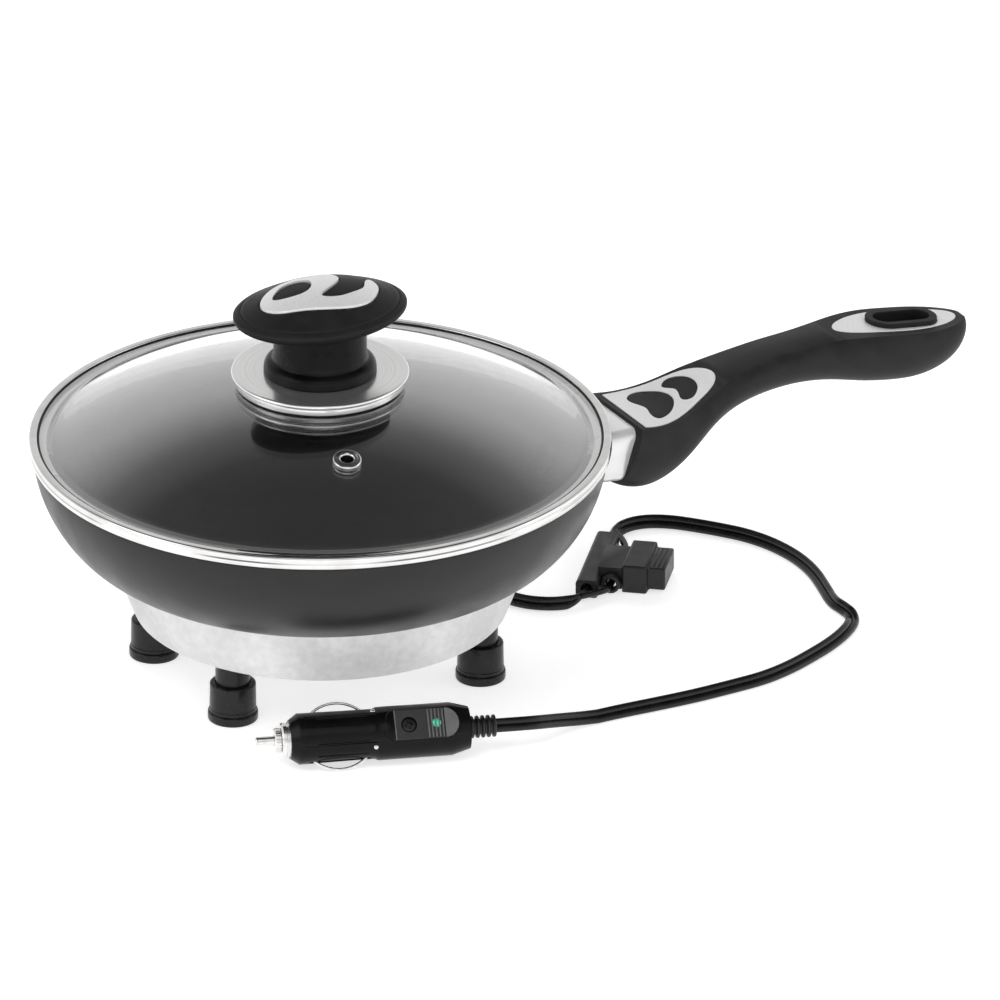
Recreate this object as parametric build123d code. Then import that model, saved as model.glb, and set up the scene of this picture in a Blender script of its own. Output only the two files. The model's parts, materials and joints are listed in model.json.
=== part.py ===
from build123d import *
import os
from math import cos, hypot, pi, radians, sin, sqrt, tan

# A 12-volt electric skillet: a round pan on a heated base with four rubber
# feet, a lift-off glass lid, a long handle, and a short twin lead with an
# inline fuse holder and a car power plug.
#
# Frame: origin on the table under the middle of the pan, +Z up, +X along the
# handle. All lengths are in millimetres and all angles in degrees.

# ---------------------------------------------------------------- clearances
slide_gap = 0.35          # between pieces of different bodies that pass each other
pivot_gap = 0.05          # running fit of a round piece in its bore, on radius
thread_gap = 0.05         # screw shank in its tapped hole, on radius
hole_gap = 0.25           # screw shank in its clear hole, on radius
pocket_gap = 0.2          # loose pocket around a fixed piece

# ---------------------------------------------------------------- pan
stand_height = 23.0       # table to the underside of the base
base_height = 21.0        # underside of the base to the pan's bottom
pan_depth = 41.6          # pan's bottom to its rim, outside
pan_foot_radius = 75.2    # flat outer bottom
pan_rim_radius = 106.3
pan_wall = 2.6
pan_floor = 3.0
bowl_foot_reach = 22.5    # how far the curve runs out flat from the bottom
bowl_foot_lift = 5.8
bowl_rim_drop = 12.0      # how far the curve drops straight from the rim
pan_stud_radius = 3.0
pan_post_radius = 5.0
tap_runout = 0.8          # tapped hole beyond the end of its screw
stud_runout = 2.0         # stud beyond its nut

# ---------------------------------------------------------------- base
base_waist_inset = 2.5    # waist inside the pan's foot, on radius
base_waist_lift = 8.0     # height of the waist above the underside
base_foot_inset = 5.6     # underside inside the pan's foot, on radius
base_wall = 2.6
base_floor = 3.0
base_pillar_height = 8.0
base_screw_margin = 1.0   # between a screw's pillar and the wall
base_screw_step = 2.0     # seat of the screw's head above the floor
base_screw_angles = (0, 105, 255)
cover_margin = 10.3       # edge of the cover inside the feet's circle
cover_ledge = 7.5         # width of the cover's seat around its opening
cover_screw_inset = 3.7   # screws inside the cover's edge
cover_thickness = 1.2
cover_screw_angles = (90, 210, 330)
cover_slot_rows = 7
cover_slot_pitch = 7.0
cover_slot_width = 2.6

# ---------------------------------------------------------------- heater
mica_margin = 1.5         # inside the clamp plate's edge
mica_thickness = 0.6
ribbon_thickness = 0.8
ribbon_width = 5.0
ribbon_margin = 3.0       # ribbon inside the mica's edge
ribbon_first_radius = 14.0
ribbon_turns = 5
ribbon_bridge = 4.0       # width of the bridge between two turns
clamp_gap = 0.5           # between the clamp plate and the pan's posts
clamp_thickness = 1.2
clamp_nut_height = 4.0
clamp_nut_size = 10.0     # across flats
thermostat_radius = 8.0
thermostat_height = 9.0
thermostat_place = (27.0, -15.0)
thermostat_tab_length = 30.0
thermostat_tab_width = 9.0
thermostat_tab_thickness = 0.9
thermostat_blade = (6.0, 0.8, 5.0)
thermostat_blade_spread = 9.0
thermostat_screw_inset = 3.0
terminal_angle = 77.0
terminal_inset = 4.0      # terminal block inside the circle of the base screws
terminal_size = (10.0, 20.0, 9.0)
terminal_cavity = (7.6, 6.0, 4.0)
inner_lead_bend = (18.0, 28.0)  # where both inner wires turn
inner_lead_spread = 6.0
inner_lead_radius = 1.2
element_tail_place = (36.0, 14.0)

# ---------------------------------------------------------------- feet
foot_margin = 7.8         # centre of a foot inside the base's underside
foot_angles = (-46, 46, 148, -151)
foot_post_radius = 6.6
foot_boot_radius = 8.75
foot_boot_height = 15.0
foot_collar_radius = 9.35
foot_collar_height = 3.7
foot_pad_thickness = 3.0

# ---------------------------------------------------------------- screws
m4_radius = 2.0
m4_head_radius = 3.9
m4_head_height = 2.4
m3_radius = 1.5
m3_head_radius = 2.7
m3_head_height = 1.8
foot_screw_length = 12.0
base_screw_length = 13.0
cover_screw_length = 5.0

# ---------------------------------------------------------------- lid
glass_thickness = 3.6
glass_flat_width = 6.0    # level rim of the glass, under the band
glass_rise = 24.9         # rim to the crown of the dome
lid_overhang = 1.7        # band beyond the pan's rim, on radius
band_side = 2.0           # rolled side of the band, outside the glass
band_sheet = 0.7
band_cover = 3.5          # width of the band's top flange, from the outside in
lip_gap = 2.0             # between the lip and the pan's wall, on radius
band_lip_drop = 3.6       # locating lip inside the pan's rim
band_radius = pan_rim_radius + lid_overhang
glass_radius = band_radius - band_side
vent_place = (-19.3, -54.6)
vent_hole_radius = 2.3
vent_collar_radius = 3.3
vent_flange_radius = 5.3
vent_flange_height = 1.3
vent_flange_sink = 1.0    # how deep each flange is formed over the glass

# ---------------------------------------------------------------- knob
skirt_radius = 33.0
skirt_height = 4.6
skirt_step_radius = 28.5
skirt_sheet = 1.2
skirt_roll = 0.8          # corner cut of the rolled edge
stem_foot_radius = 21.0
stem_foot_height = 4.2
stem_neck_radius = 17.4
stem_height = 21.6
cap_long_radius = 34.0    # half length along X
cap_short_radius = 25.8   # half width along Y
cap_height = 15.4
cap_edge_height = 4.4     # lower face to the widest line
cap_under_radius = 28.5
cap_crease_height = 7.0   # lower face to the crease between rim and dome
cap_crease_radius = 31.5
knob_inlay_depth = 1.4
knob_inlay_rise = 0.3
knob_screw_bore = 12.0    # depth of the tapped hole in the stem
knob_washer_radius = 9.0
knob_washer_thickness = 1.5
knob_washer_settle = 0.15  # how far the flat washer stands off the curved glass

# ---------------------------------------------------------------- handle
tang_length = 46.0
tang_width = 15.0
tang_thickness = 8.0
tang_drop = 25.6          # centre line below the pan's rim
tang_root = 9.0           # how far the tang reaches inside the rim's radius
plate_thickness = 3.0
plate_width = 20.0
plate_height = 13.5
rivet_radius = 2.2
rivet_head_radius = 3.9
rivet_head_height = 1.8
rivet_spacing = 11.0
ferrule_sheet = 1.5
ferrule_pan_width = 27.0
ferrule_grip_width = 33.0
ferrule_corner = 4.0
ferrule_top = (9.4, 10.4)      # above the tang's centre line, at the pan and at the grip
ferrule_bottom = (-8.6, -11.1)
ferrule_span = (-10.3, 25.7)   # from the rim: the two ends before trimming
grip_front_low = (13.2, -11.4)  # front face of the grip: from the rim, above the tang
grip_front_high = (20.3, 11.6)
handle_screw_place = 34.7      # from the rim
handle_screw_cover = 4.0       # grip left between the screw's seat and the tang
grip_span = 60.0               # wide enough to cut right across the grip
handle_screw_length = 11.0
inlay_depth = 1.3
inlay_rise = 0.3
eyelet_rise = 2.0
eyelet_wall = 2.9
eyelet_depth = 6.0
hang_hole_length = 23.0
hang_hole_width = 9.4
hang_hole_centre = 141.9       # from the rim
front_inlay_start = 22.6       # from the rim
front_inlay_length = 38.1
front_inlay_half_width = 17.2
tail_inlay_centre = (138.9, 0.2)  # from the rim
tail_inlay_half_length = 26.0
tail_inlay_half_width = 9.9

# Stations along the grip: distance from the rim, top and bottom above the tang's
# centre line, half width of the top face, widest half width. The tail face
# slopes down to the rounded end.
grip_stations = (
    (11.2, 12.8, -11.6, 18.8, 19.6),
    (15.7, 12.2, -14.8, 18.9, 19.9),
    (20.7, 11.5, -16.8, 18.6, 20.0),
    (27.7, 10.7, -17.2, 18.4, 19.9),
    (34.7, 10.8, -15.0, 17.9, 19.5),
    (43.7, 12.5, -9.2, 16.4, 18.6),
    (53.7, 16.2, -0.2, 13.6, 17.0),
    (63.7, 19.3, 5.1, 10.8, 15.0),
    (73.7, 21.4, 7.5, 8.9, 13.6),
    (85.7, 22.9, 8.7, 8.2, 13.0),
    (99.7, 23.6, 8.0, 8.7, 13.0),
    (109.7, 24.0, 6.1, 9.8, 13.8),
    (121.7, 23.6, 3.1, 12.2, 15.4),
    (131.7, 22.6, 1.5, 13.3, 16.6),
    (141.7, 21.1, 0.8, 13.4, 16.8),
    (151.7, 19.8, 2.0, 12.2, 15.2),
    (159.7, 18.9, 5.0, 9.4, 12.2),
    (165.2, 18.4, 9.6, 5.6, 8.0),
    (167.9, 18.0, 14.8, 2.4, 3.2),
)

# ---------------------------------------------------------------- cord
cord_diameter = 3.4       # round stand-in for the flat twin lead
conductor_diameter = 2.6
cord_on_table = 1.7       # centre line of the lead where it lies on the table
cord_exit_angle = 60.0
cord_exit_height = 30.0
grommet_radius = 5.2
grommet_hole_radius = 4.0
grommet_flange = 1.6
grommet_settle = 0.8      # how far the inner flange follows the round wall

# ---------------------------------------------------------------- fuse holder
holder_centre = (125.7, 13.4)
holder_angle = -40.0      # direction of the fuse axis; the sleeve lies across it
sleeve_length = 44.0
sleeve_width = 8.5
sleeve_height = 7.0
sleeve_wire_height = 3.5
sleeve_bore_radius = 2.3
sleeve_bore_depth = 4.0
sleeve_edge_radius = 1.6
socket_offset = -3.5      # centre of the fuse part, along the sleeve
socket_length = 7.4
socket_width = 20.0
socket_height = 9.0
socket_floor = 0.5
fuse_height = 5.5         # fuse's mid plane above the table
fuse_stand_off = 1.0      # fuse's body inside the cap's mouth
cap_collar_length = 9.4
cap_collar_width = 24.0
cap_collar_height = 11.0
cap_end_length = 6.6
cap_end_width = 19.6
cap_end_height = 8.8
fuse_body = (11.0, 15.0, 3.8)
blade_length = 6.6
blade_width = 5.0
blade_thickness = 0.7
blade_spread = 8.6
tether_radius = 3.6
tether_wall = 1.4
tether_length = 4.0
tether_height = 3.8       # axis of the loop above the table
bypass_place = 8.0        # second wire, from the sleeve's centre line
bypass_height = 3.1
bypass_groove_width = 3.4
bypass_groove_top = 4.7

# ---------------------------------------------------------------- power plug
plug_tip_place = (-68.2, -71.8)
plug_axis_height = 10.55
plug_heading = -20.4
plug_roll = 49.0          # side contacts lean back from level by this
pin_radius = 1.8
pin_reach = 7.1           # tip to the nose ring
pin_inside = 8.0
pin_collar_radius = 3.0
pin_collar_length = 1.6
pin_travel = 3.5
pin_tip_length = 0.8
pin_collar_gap = 0.2
spring_wire_radius = 0.35
spring_turns = 5
ring_radius = 4.6
ring_length = 2.5
ring_notches = 24
flange_radius = 6.45
flange_length = 3.1
nose_radius = 7.2
nose_length = 3.3
barrel_radius = 9.55
barrel_length = 27.9
waist_radius = 9.2
housing_radius = 9.9
housing_length = 35.9
housing_lip = 1.5         # length of the step up to the housing
housing_taper = 7.0
housing_end_radius = 7.9
plug_bore_radius = 3.6
plug_bore_length = 36.0
contact_wire_radius = 0.55
contact_start = 20.4
contact_length = 21.0
contact_bulge = 3.7       # how far the bow stands out of the barrel
contact_travel = 2.6
contact_foot_depth = 1.6
panel_start = 51.3
panel_length = 23.9
panel_width = 11.7
panel_height = 9.4        # flat of the panel, from the plug's axis
plug_screw_place = 56.5
led_place = 66.8
led_radius = 1.7
led_height = 3.0
led_rise = 0.4
plug_screw_length = 14.0
flange_chamfer = 0.6
relief_length = 10.3
relief_radius = 4.2
relief_neck_radius = 2.9
relief_ribs = 5
relief_foot_radius = 4.6
relief_foot_depth = 3.6
fuse_tube_radius = 3.15
fuse_tube_length = 14.0
fuse_tube_cap = 4.0
fuse_tube_inset = 0.25

# ---------------------------------------------------------------- derived sizes
base_foot_radius = pan_foot_radius - base_foot_inset
base_waist_radius = pan_foot_radius - base_waist_inset
base_screw_circle = base_foot_radius - base_wall - pan_post_radius - base_screw_margin
foot_circle = base_foot_radius - foot_margin
cover_radius = foot_circle - cover_margin
cover_opening_radius = cover_radius - cover_ledge
cover_screw_circle = cover_radius - cover_screw_inset
cover_slot_length = cover_opening_radius
clamp_radius = base_screw_circle - pan_post_radius - clamp_gap
mica_radius = clamp_radius - mica_margin
ribbon_pitch = (mica_radius - ribbon_margin - ribbon_width - ribbon_first_radius) \
    / (ribbon_turns - 1)
terminal_circle = base_screw_circle - terminal_inset
pan_bottom = stand_height + base_height
rim_height = pan_bottom + pan_depth
base_floor_top = stand_height + base_floor
tang_height = rim_height - tang_drop
glass_bottom = rim_height + band_sheet
glass_top_edge = glass_bottom + glass_thickness
band_top = glass_top_edge + band_sheet
crown_height = glass_top_edge + glass_rise
dome_radius = glass_radius - glass_flat_width
dome_sphere = (dome_radius ** 2 + glass_rise ** 2) / (2 * glass_rise)


def dome_height(radius):
    """Top of the glass at a radius from the knob's axis."""
    return crown_height - dome_sphere + sqrt(dome_sphere ** 2 - radius ** 2)


skirt_bottom = dome_height(skirt_step_radius)
skirt_top = skirt_bottom + skirt_height
stem_top = skirt_top + stem_height
cap_bottom = stem_top - 0.5 * cap_edge_height
cap_top = cap_bottom + cap_height

os.makedirs("parts", exist_ok=True)
nodes = {}


# ================================================================ helpers
def polar(radius, angle, height=0.0):
    return (radius * cos(radians(angle)), radius * sin(radians(angle)), height)


def turned(*edges):
    """A solid of revolution about Z from edges drawn in the X-Z plane."""
    return revolve(Face(Wire(edges)), Axis.Z)


def turned_outline(*outline):
    """The same from plain (radius, height) corners."""
    return revolve(Face(Wire.make_polygon([(r, 0, z) for r, z in outline])), Axis.Z)


def rod(radius, low, high, place=(0, 0)):
    """An upright round bar between two heights."""
    middle = (place[0], place[1], 0.5 * (low + high))
    return Pos(*middle) * Cylinder(radius, high - low)


def bar_x(radius, start, end):
    """A round bar along X."""
    return Pos(0.5 * (start + end), 0, 0) * Rot(0, 90, 0) * Cylinder(radius, end - start)


def block(low, high):
    """A box between two opposite corners."""
    size = [abs(b - a) for a, b in zip(low, high)]
    return Pos(*[0.5 * (a + b) for a, b in zip(low, high)]) * Box(*size)


def screw_down(radius, head_radius, head_height, length, top, place):
    """A pan-head screw whose shank points down from the height `top`."""
    head = rod(head_radius, top, top + head_height, place)
    return head + rod(radius, top - length, top, place)


def screw_up(radius, head_radius, head_height, length, seat, place):
    """A pan-head screw whose shank points up from the height `seat`."""
    head = rod(head_radius, seat - head_height, seat, place)
    return head + rod(radius, seat, seat + length, place)


def joined(pieces):
    """One node made of several separate solids."""
    return Compound(children=[solid for piece in pieces for solid in piece.solids()])


def side_prism(points, half_width):
    """An X-Z outline pulled out to both sides of the X-Z plane."""
    face = Face(Wire.make_polygon([(x, half_width, z) for x, z in points]))
    return extrude(face, amount=2 * half_width, dir=(0, -1, 0))


def cord_radii(points):
    """One tangent-arc radius for each corner of a route."""
    radii = []
    for before, here, after in zip(points, points[1:], points[2:]):
        first = Vector(here) - Vector(before)
        second = Vector(after) - Vector(here)
        half_turn = radians(first.get_angle(second)) / 2
        radii.append(0.45 * min(first.length, second.length) / tan(half_turn))
    return radii


def cord_tube(name, points, diameter):
    """A round tube along straight runs joined by tangent arcs."""
    radii = cord_radii(points)
    path = FilletPolyline(*points, radius=radii)
    start_plane = Plane(origin=path @ 0, z_dir=path % 0)
    tube = sweep(start_plane * Circle(diameter / 2), path)
    expected = pi * diameter ** 2 / 4 * path.length
    print(f"{name}: length {path.length:.1f}, volume {tube.volume:.0f}, "
          f"section x length {expected:.0f}, radii {[round(r, 1) for r in radii]}")
    return tube


# ================================================================ pan
def bowl_outline(out=0.0):
    """The bowl's outer curve, moved `out` outwards."""
    return Bezier(
        (pan_foot_radius + out, 0, pan_bottom),
        (pan_foot_radius + bowl_foot_reach + out, 0, pan_bottom + bowl_foot_lift),
        (pan_rim_radius + out, 0, rim_height - bowl_rim_drop),
        (pan_rim_radius + out, 0, rim_height),
    )


def bowl_inner_curve():
    """The bowl's inner curve, one wall inside the outer one."""
    return Bezier(
        (pan_foot_radius - pan_wall / 2, 0, pan_bottom + pan_floor),
        (pan_foot_radius + bowl_foot_reach - pan_wall, 0,
         pan_bottom + bowl_foot_lift + pan_floor * 0.8),
        (pan_rim_radius - pan_wall, 0, rim_height - bowl_rim_drop),
        (pan_rim_radius - pan_wall, 0, rim_height),
    )


def pan_envelope(out=0.0):
    """Everything inside the pan's outer surface, moved `out` outwards."""
    curve = bowl_outline(out)
    return turned(
        Line((0, 0, pan_bottom), (pan_foot_radius + out, 0, pan_bottom)),
        curve,
        Line((pan_rim_radius + out, 0, rim_height), (0, 0, rim_height)),
        Line((0, 0, rim_height), (0, 0, pan_bottom)),
    )


def pan_cavity():
    """The cooking space inside the pan."""
    curve = bowl_inner_curve()
    return turned(
        Line((0, 0, pan_bottom + pan_floor), curve @ 0),
        curve,
        Line(curve @ 1, (0, 0, rim_height)),
        Line((0, 0, rim_height), (0, 0, pan_bottom + pan_floor)),
    )


pillar_top = base_floor_top + base_pillar_height
base_screw_seat = base_floor_top + base_screw_step
clamp_bottom = pan_bottom - 2 * mica_thickness - ribbon_thickness - clamp_thickness
rivet_places = (-rivet_spacing / 2, rivet_spacing / 2)


def rivet_bore(radius, y):
    """A bar through the pan wall and the bracket plate."""
    start = pan_foot_radius
    end = pan_rim_radius + 2 * plate_thickness
    return Pos(0, y, tang_height) * bar_x(radius, start, end)


def make_pan():
    pan = pan_envelope() - pan_cavity()
    for y in rivet_places:
        pan -= rivet_bore(rivet_radius, y)
    return pan


def make_pan_studs():
    """Posts and a threaded stud welded under the pan, inside the base."""
    studs = [rod(pan_stud_radius, clamp_bottom - clamp_nut_height - stud_runout, pan_bottom)]
    tapped = base_screw_seat + base_screw_length + tap_runout
    for angle in base_screw_angles:
        place = polar(base_screw_circle, angle)
        post = rod(pan_post_radius, pillar_top, pan_bottom, place)
        studs.append(post - rod(m4_radius + thread_gap, pillar_top, tapped, place))
    return joined(studs)


# ================================================================ base
def make_heater_base():
    waist = stand_height + base_waist_lift
    outer = ((0, stand_height), (base_foot_radius, stand_height),
             (base_waist_radius, waist), (pan_foot_radius, pan_bottom), (0, pan_bottom))
    inner = ((0, base_floor_top), (base_foot_radius - base_wall, base_floor_top),
             (base_waist_radius - base_wall, waist),
             (pan_foot_radius - base_wall, pan_bottom), (0, pan_bottom))
    base = turned_outline(*outer) - turned_outline(*inner)
    base -= rod(cover_opening_radius, stand_height, base_floor_top)
    base -= rod(cover_radius + pocket_gap, stand_height, stand_height + cover_thickness)
    for angle in base_screw_angles:
        place = polar(base_screw_circle, angle)
        base += rod(pan_post_radius, base_floor_top, pillar_top, place)
        base -= rod(m4_head_radius + hole_gap, stand_height, base_screw_seat, place)
        base -= rod(m4_radius + hole_gap, base_screw_seat, pillar_top, place)
    for angle in foot_angles:
        base -= rod(m4_radius + hole_gap, stand_height, base_floor_top,
                    polar(foot_circle, angle))
    for angle in cover_screw_angles:
        base -= rod(m3_radius + thread_gap, stand_height, base_floor_top,
                    polar(cover_screw_circle, angle))
    return base - grommet_bar(grommet_hole_radius)


def grommet_bar(radius, start=None, end=None):
    """A bar along the lead's way out through the base wall."""
    start = pan_foot_radius - 3 * base_wall if start is None else start
    end = pan_foot_radius + 2 * base_wall if end is None else end
    return Pos(0, 0, cord_exit_height) * Rot(0, 0, cord_exit_angle) * bar_x(radius, start, end)


def wall_radius(height):
    """Outer radius of the base wall at a height above the waist or below it."""
    waist = stand_height + base_waist_lift
    if height < waist:
        share = (height - stand_height) / base_waist_lift
        return base_foot_radius + share * (base_waist_radius - base_foot_radius)
    share = (height - waist) / (pan_bottom - waist)
    return base_waist_radius + share * (pan_foot_radius - base_waist_radius)


def make_cord_grommet():
    outside = wall_radius(cord_exit_height)
    inside = outside - base_wall
    grommet = grommet_bar(grommet_hole_radius, inside - grommet_flange, outside)
    grommet += grommet_bar(grommet_radius, outside, outside + grommet_flange)
    settled = inside - grommet_settle
    grommet += grommet_bar(grommet_radius, settled - grommet_flange, settled)
    bore = cord_diameter / 2 + pivot_gap
    grommet -= grommet_bar(bore, inside - 2 * base_wall, outside + 2 * base_wall)
    return grommet - (nodes["heater_base"] & grommet)


def make_bottom_cover():
    cover = rod(cover_radius, stand_height, stand_height + cover_thickness)
    for angle in cover_screw_angles:
        cover -= rod(m3_radius + hole_gap, stand_height, stand_height + cover_thickness,
                     polar(cover_screw_circle, angle))
    slot = extrude(SlotOverall(cover_slot_length, cover_slot_width), 2 * cover_thickness)
    for row in range(cover_slot_rows):
        y = (row - (cover_slot_rows - 1) / 2) * cover_slot_pitch
        cover -= Pos(0, y, stand_height) * slot
    return cover


def make_cover_screws():
    return joined([screw_up(m3_radius, m3_head_radius, m3_head_height, cover_screw_length,
                            stand_height, polar(cover_screw_circle, angle))
                   for angle in cover_screw_angles])


def make_base_screws():
    return joined([screw_up(m4_radius, m4_head_radius, m4_head_height, base_screw_length,
                            base_screw_seat, polar(base_screw_circle, angle))
                   for angle in base_screw_angles])


# ================================================================ heater
def make_mica_sheets():
    hole = rod(pan_stud_radius + hole_gap, clamp_bottom, pan_bottom)
    upper = rod(mica_radius, pan_bottom - mica_thickness, pan_bottom) - hole
    low = pan_bottom - 2 * mica_thickness - ribbon_thickness
    lower = rod(mica_radius, low, low + mica_thickness) - hole
    return joined([upper, lower])


def make_heating_element():
    top = pan_bottom - mica_thickness
    low = top - ribbon_thickness
    element = None
    for turn in range(ribbon_turns):
        inner = ribbon_first_radius + turn * ribbon_pitch
        ring = rod(inner + ribbon_width, low, top) - rod(inner, low, top)
        if turn:
            side = 1 if turn % 2 else -1
            overlap = ribbon_width / 5
            ring += block((side * (inner - ribbon_pitch + overlap), -ribbon_bridge / 2, low),
                          (side * (inner + overlap), ribbon_bridge / 2, top))
        element = ring if element is None else element + ring
    return element


def make_clamp_plate():
    low = clamp_bottom
    plate = rod(clamp_radius, low, low + clamp_thickness)
    plate -= rod(pan_stud_radius + hole_gap, low, low + clamp_thickness)
    for place in thermostat_screw_places():
        plate -= rod(m3_radius + thread_gap, low, low + clamp_thickness, place)
    return plate


def make_clamp_nut():
    low = clamp_bottom - clamp_nut_height
    nut = Pos(0, 0, low) * extrude(RegularPolygon(clamp_nut_size / 2, 6, major_radius=False),
                                   clamp_nut_height)
    return nut - rod(pan_stud_radius + thread_gap, low, clamp_bottom)


def thermostat_screw_places():
    x, y = thermostat_place
    reach = thermostat_tab_length / 2 - thermostat_screw_inset
    return ((x - reach, y), (x + reach, y))


def make_thermostat():
    x, y = thermostat_place
    half_x, half_y = thermostat_tab_length / 2, thermostat_tab_width / 2
    tab_low = clamp_bottom - thermostat_tab_thickness
    body = block((x - half_x, y - half_y, tab_low), (x + half_x, y + half_y, clamp_bottom))
    for place in thermostat_screw_places():
        body -= rod(m3_radius + hole_gap, tab_low, clamp_bottom, place)
    low = clamp_bottom - thermostat_height
    body += rod(thermostat_radius, low, clamp_bottom, thermostat_place)
    width, thick, drop = thermostat_blade
    for side in (-1, 1):
        y_mid = y + side * thermostat_blade_spread / 2
        body += block((x - width / 2, y_mid - thick / 2, low - drop),
                      (x + width / 2, y_mid + thick / 2, low))
    return body


def make_thermostat_screws():
    seat = clamp_bottom - thermostat_tab_thickness
    length = thermostat_tab_thickness + clamp_thickness
    return joined([screw_up(m3_radius, m3_head_radius, m3_head_height, length, seat, place)
                   for place in thermostat_screw_places()])


def terminal_frame():
    return Rot(0, 0, terminal_angle) * Pos(terminal_circle, 0, base_floor_top)


def make_terminal_block():
    length_x, length_y, height = terminal_size
    body = block((-length_x / 2, -length_y / 2, 0), (length_x / 2, length_y / 2, height))
    wide, long, deep = terminal_cavity
    for side in (-1, 1):
        y = side * length_y / 4
        body -= block((-wide / 2, y - long / 2, height - deep), (wide / 2, y + long / 2, height))
    return terminal_frame() * body


def make_inner_leads():
    """Two wires from the terminal block: one to the thermostat, one to the element."""
    start_height = base_floor_top + 0.5 * (terminal_size[2] - terminal_cavity[2])
    blade_mid = clamp_bottom - thermostat_height - thermostat_blade[2] / 2
    x, y = thermostat_place
    ends = ((x, y + 0.5 * (thermostat_blade_spread + thermostat_blade[1]), blade_mid),
            (*element_tail_place, clamp_bottom))
    leads = []
    for side, end in zip((1, -1), ends):
        start = terminal_frame() * Pos(-terminal_size[0] / 2, side * terminal_size[1] / 4, 0)
        bend_x, bend_y = inner_lead_bend
        route = [(start.position.X, start.position.Y, start_height),
                 (bend_x - side * inner_lead_spread, bend_y, start_height), end]
        path = FilletPolyline(*route, radius=cord_radii(route))
        section = Plane(origin=path @ 0, z_dir=path % 0) * Circle(inner_lead_radius)
        leads.append(sweep(section, path))
    solid = joined(leads)
    for neighbour in ("terminal_block", "thermostat", "clamp_plate"):
        solid -= nodes[neighbour]
    return solid


# ================================================================ feet
def foot_hole_depth():
    return foot_screw_length - base_floor + tap_runout


def make_foot_post(angle):
    place = polar(foot_circle, angle)
    post = rod(foot_post_radius, foot_pad_thickness, stand_height, place)
    return post - rod(m4_radius + thread_gap, stand_height - foot_hole_depth(),
                      stand_height, place)


def make_foot_boot(angle):
    place = polar(foot_circle, angle)
    boot = rod(foot_boot_radius, 0, foot_boot_height, place)
    boot += rod(foot_collar_radius, 0, foot_collar_height, place)
    return boot - rod(foot_post_radius, foot_pad_thickness, foot_boot_height, place)


def make_foot_screws():
    return joined([screw_down(m4_radius, m4_head_radius, m4_head_height, foot_screw_length,
                              base_floor_top, polar(foot_circle, angle))
                   for angle in foot_angles])


# ================================================================ lid
def make_lid_glass():
    sphere_centre = crown_height - dome_sphere

    def face_arc(drop):
        """The dome's arc, `drop` below its top face."""
        radius = dome_sphere - drop
        rim = glass_top_edge - drop
        reach = sqrt(radius ** 2 - (rim - sphere_centre) ** 2)
        middle = 0.5 * reach
        return reach, ThreePointArc(
            (0, 0, sphere_centre + radius),
            (middle, 0, sphere_centre + sqrt(radius ** 2 - middle ** 2)),
            (reach, 0, rim))

    top_reach, top_arc = face_arc(0)
    low_reach, low_arc = face_arc(glass_thickness)
    glass = turned(
        top_arc,
        Line((top_reach, 0, glass_top_edge), (glass_radius, 0, glass_top_edge)),
        Line((glass_radius, 0, glass_top_edge), (glass_radius, 0, glass_bottom)),
        Line((glass_radius, 0, glass_bottom), (low_reach, 0, glass_bottom)),
        low_arc,
        Line((0, 0, crown_height - glass_thickness), (0, 0, crown_height)),
    )
    low, high = rim_height, crown_height + glass_thickness
    glass -= rod(m4_radius + hole_gap, low, high)
    return glass - rod(vent_collar_radius, low, high, vent_place)


def make_lid_rim_band():
    outer, inner = band_radius, glass_radius
    seat_inner = pan_rim_radius - pan_wall - lip_gap
    outline = (
        (outer, rim_height), (outer, band_top), (outer - band_cover, band_top),
        (outer - band_cover, glass_top_edge), (inner, glass_top_edge),
        (inner, glass_bottom), (seat_inner, glass_bottom),
        (seat_inner - band_sheet, glass_bottom),
        (seat_inner - band_sheet, rim_height - band_lip_drop),
        (seat_inner, rim_height - band_lip_drop), (seat_inner, rim_height),
    )
    return turned_outline(*outline)


def make_vent_eyelet():
    """A pressed eyelet: two flanges joined by a collar through the glass."""
    distance = hypot(*vent_place)
    top = dome_height(distance - vent_flange_radius)
    low = dome_height(distance + vent_flange_radius) - glass_thickness
    eyelet = rod(vent_flange_radius, top - vent_flange_sink, top + vent_flange_height, vent_place)
    eyelet += rod(vent_flange_radius, low - vent_flange_height, low + vent_flange_sink, vent_place)
    eyelet += rod(vent_collar_radius, low, top, vent_place)
    eyelet -= rod(vent_hole_radius, rim_height, top + glass_thickness, vent_place)
    return eyelet - nodes["lid_glass"]


def make_knob_skirt():
    """A pressed steel dish, rolled at the edge and open underneath."""
    low, top, sheet = skirt_bottom, skirt_top, skirt_sheet
    step = low + skirt_height * 0.42
    outer = ((0, low), (skirt_step_radius, low), (skirt_step_radius, step),
             (skirt_radius - skirt_roll, step), (skirt_radius, step + skirt_roll),
             (skirt_radius, top - skirt_roll), (skirt_radius - skirt_roll, top), (0, top))
    hollow = ((0, low), (skirt_step_radius - sheet, low),
              (skirt_step_radius - sheet, top - sheet), (0, top - sheet))
    skirt = turned_outline(*outer) - turned_outline(*hollow)
    return skirt - rod(m4_radius + hole_gap, low, top) - nodes["lid_glass"]


def make_knob_stem():
    """The stem passes through the skirt's hollow and stands on the glass."""
    profile = ((0, skirt_top), (stem_foot_radius, skirt_top),
               (stem_foot_radius, skirt_top + stem_foot_height * 0.6),
               (stem_neck_radius, skirt_top + stem_foot_height),
               (stem_neck_radius, stem_top), (0, stem_top))
    stem = turned_outline(*profile)
    hub = m4_radius + hole_gap
    stem += rod(hub, crown_height, skirt_top)
    return stem - rod(m4_radius + thread_gap, crown_height, skirt_top + knob_screw_bore)


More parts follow.
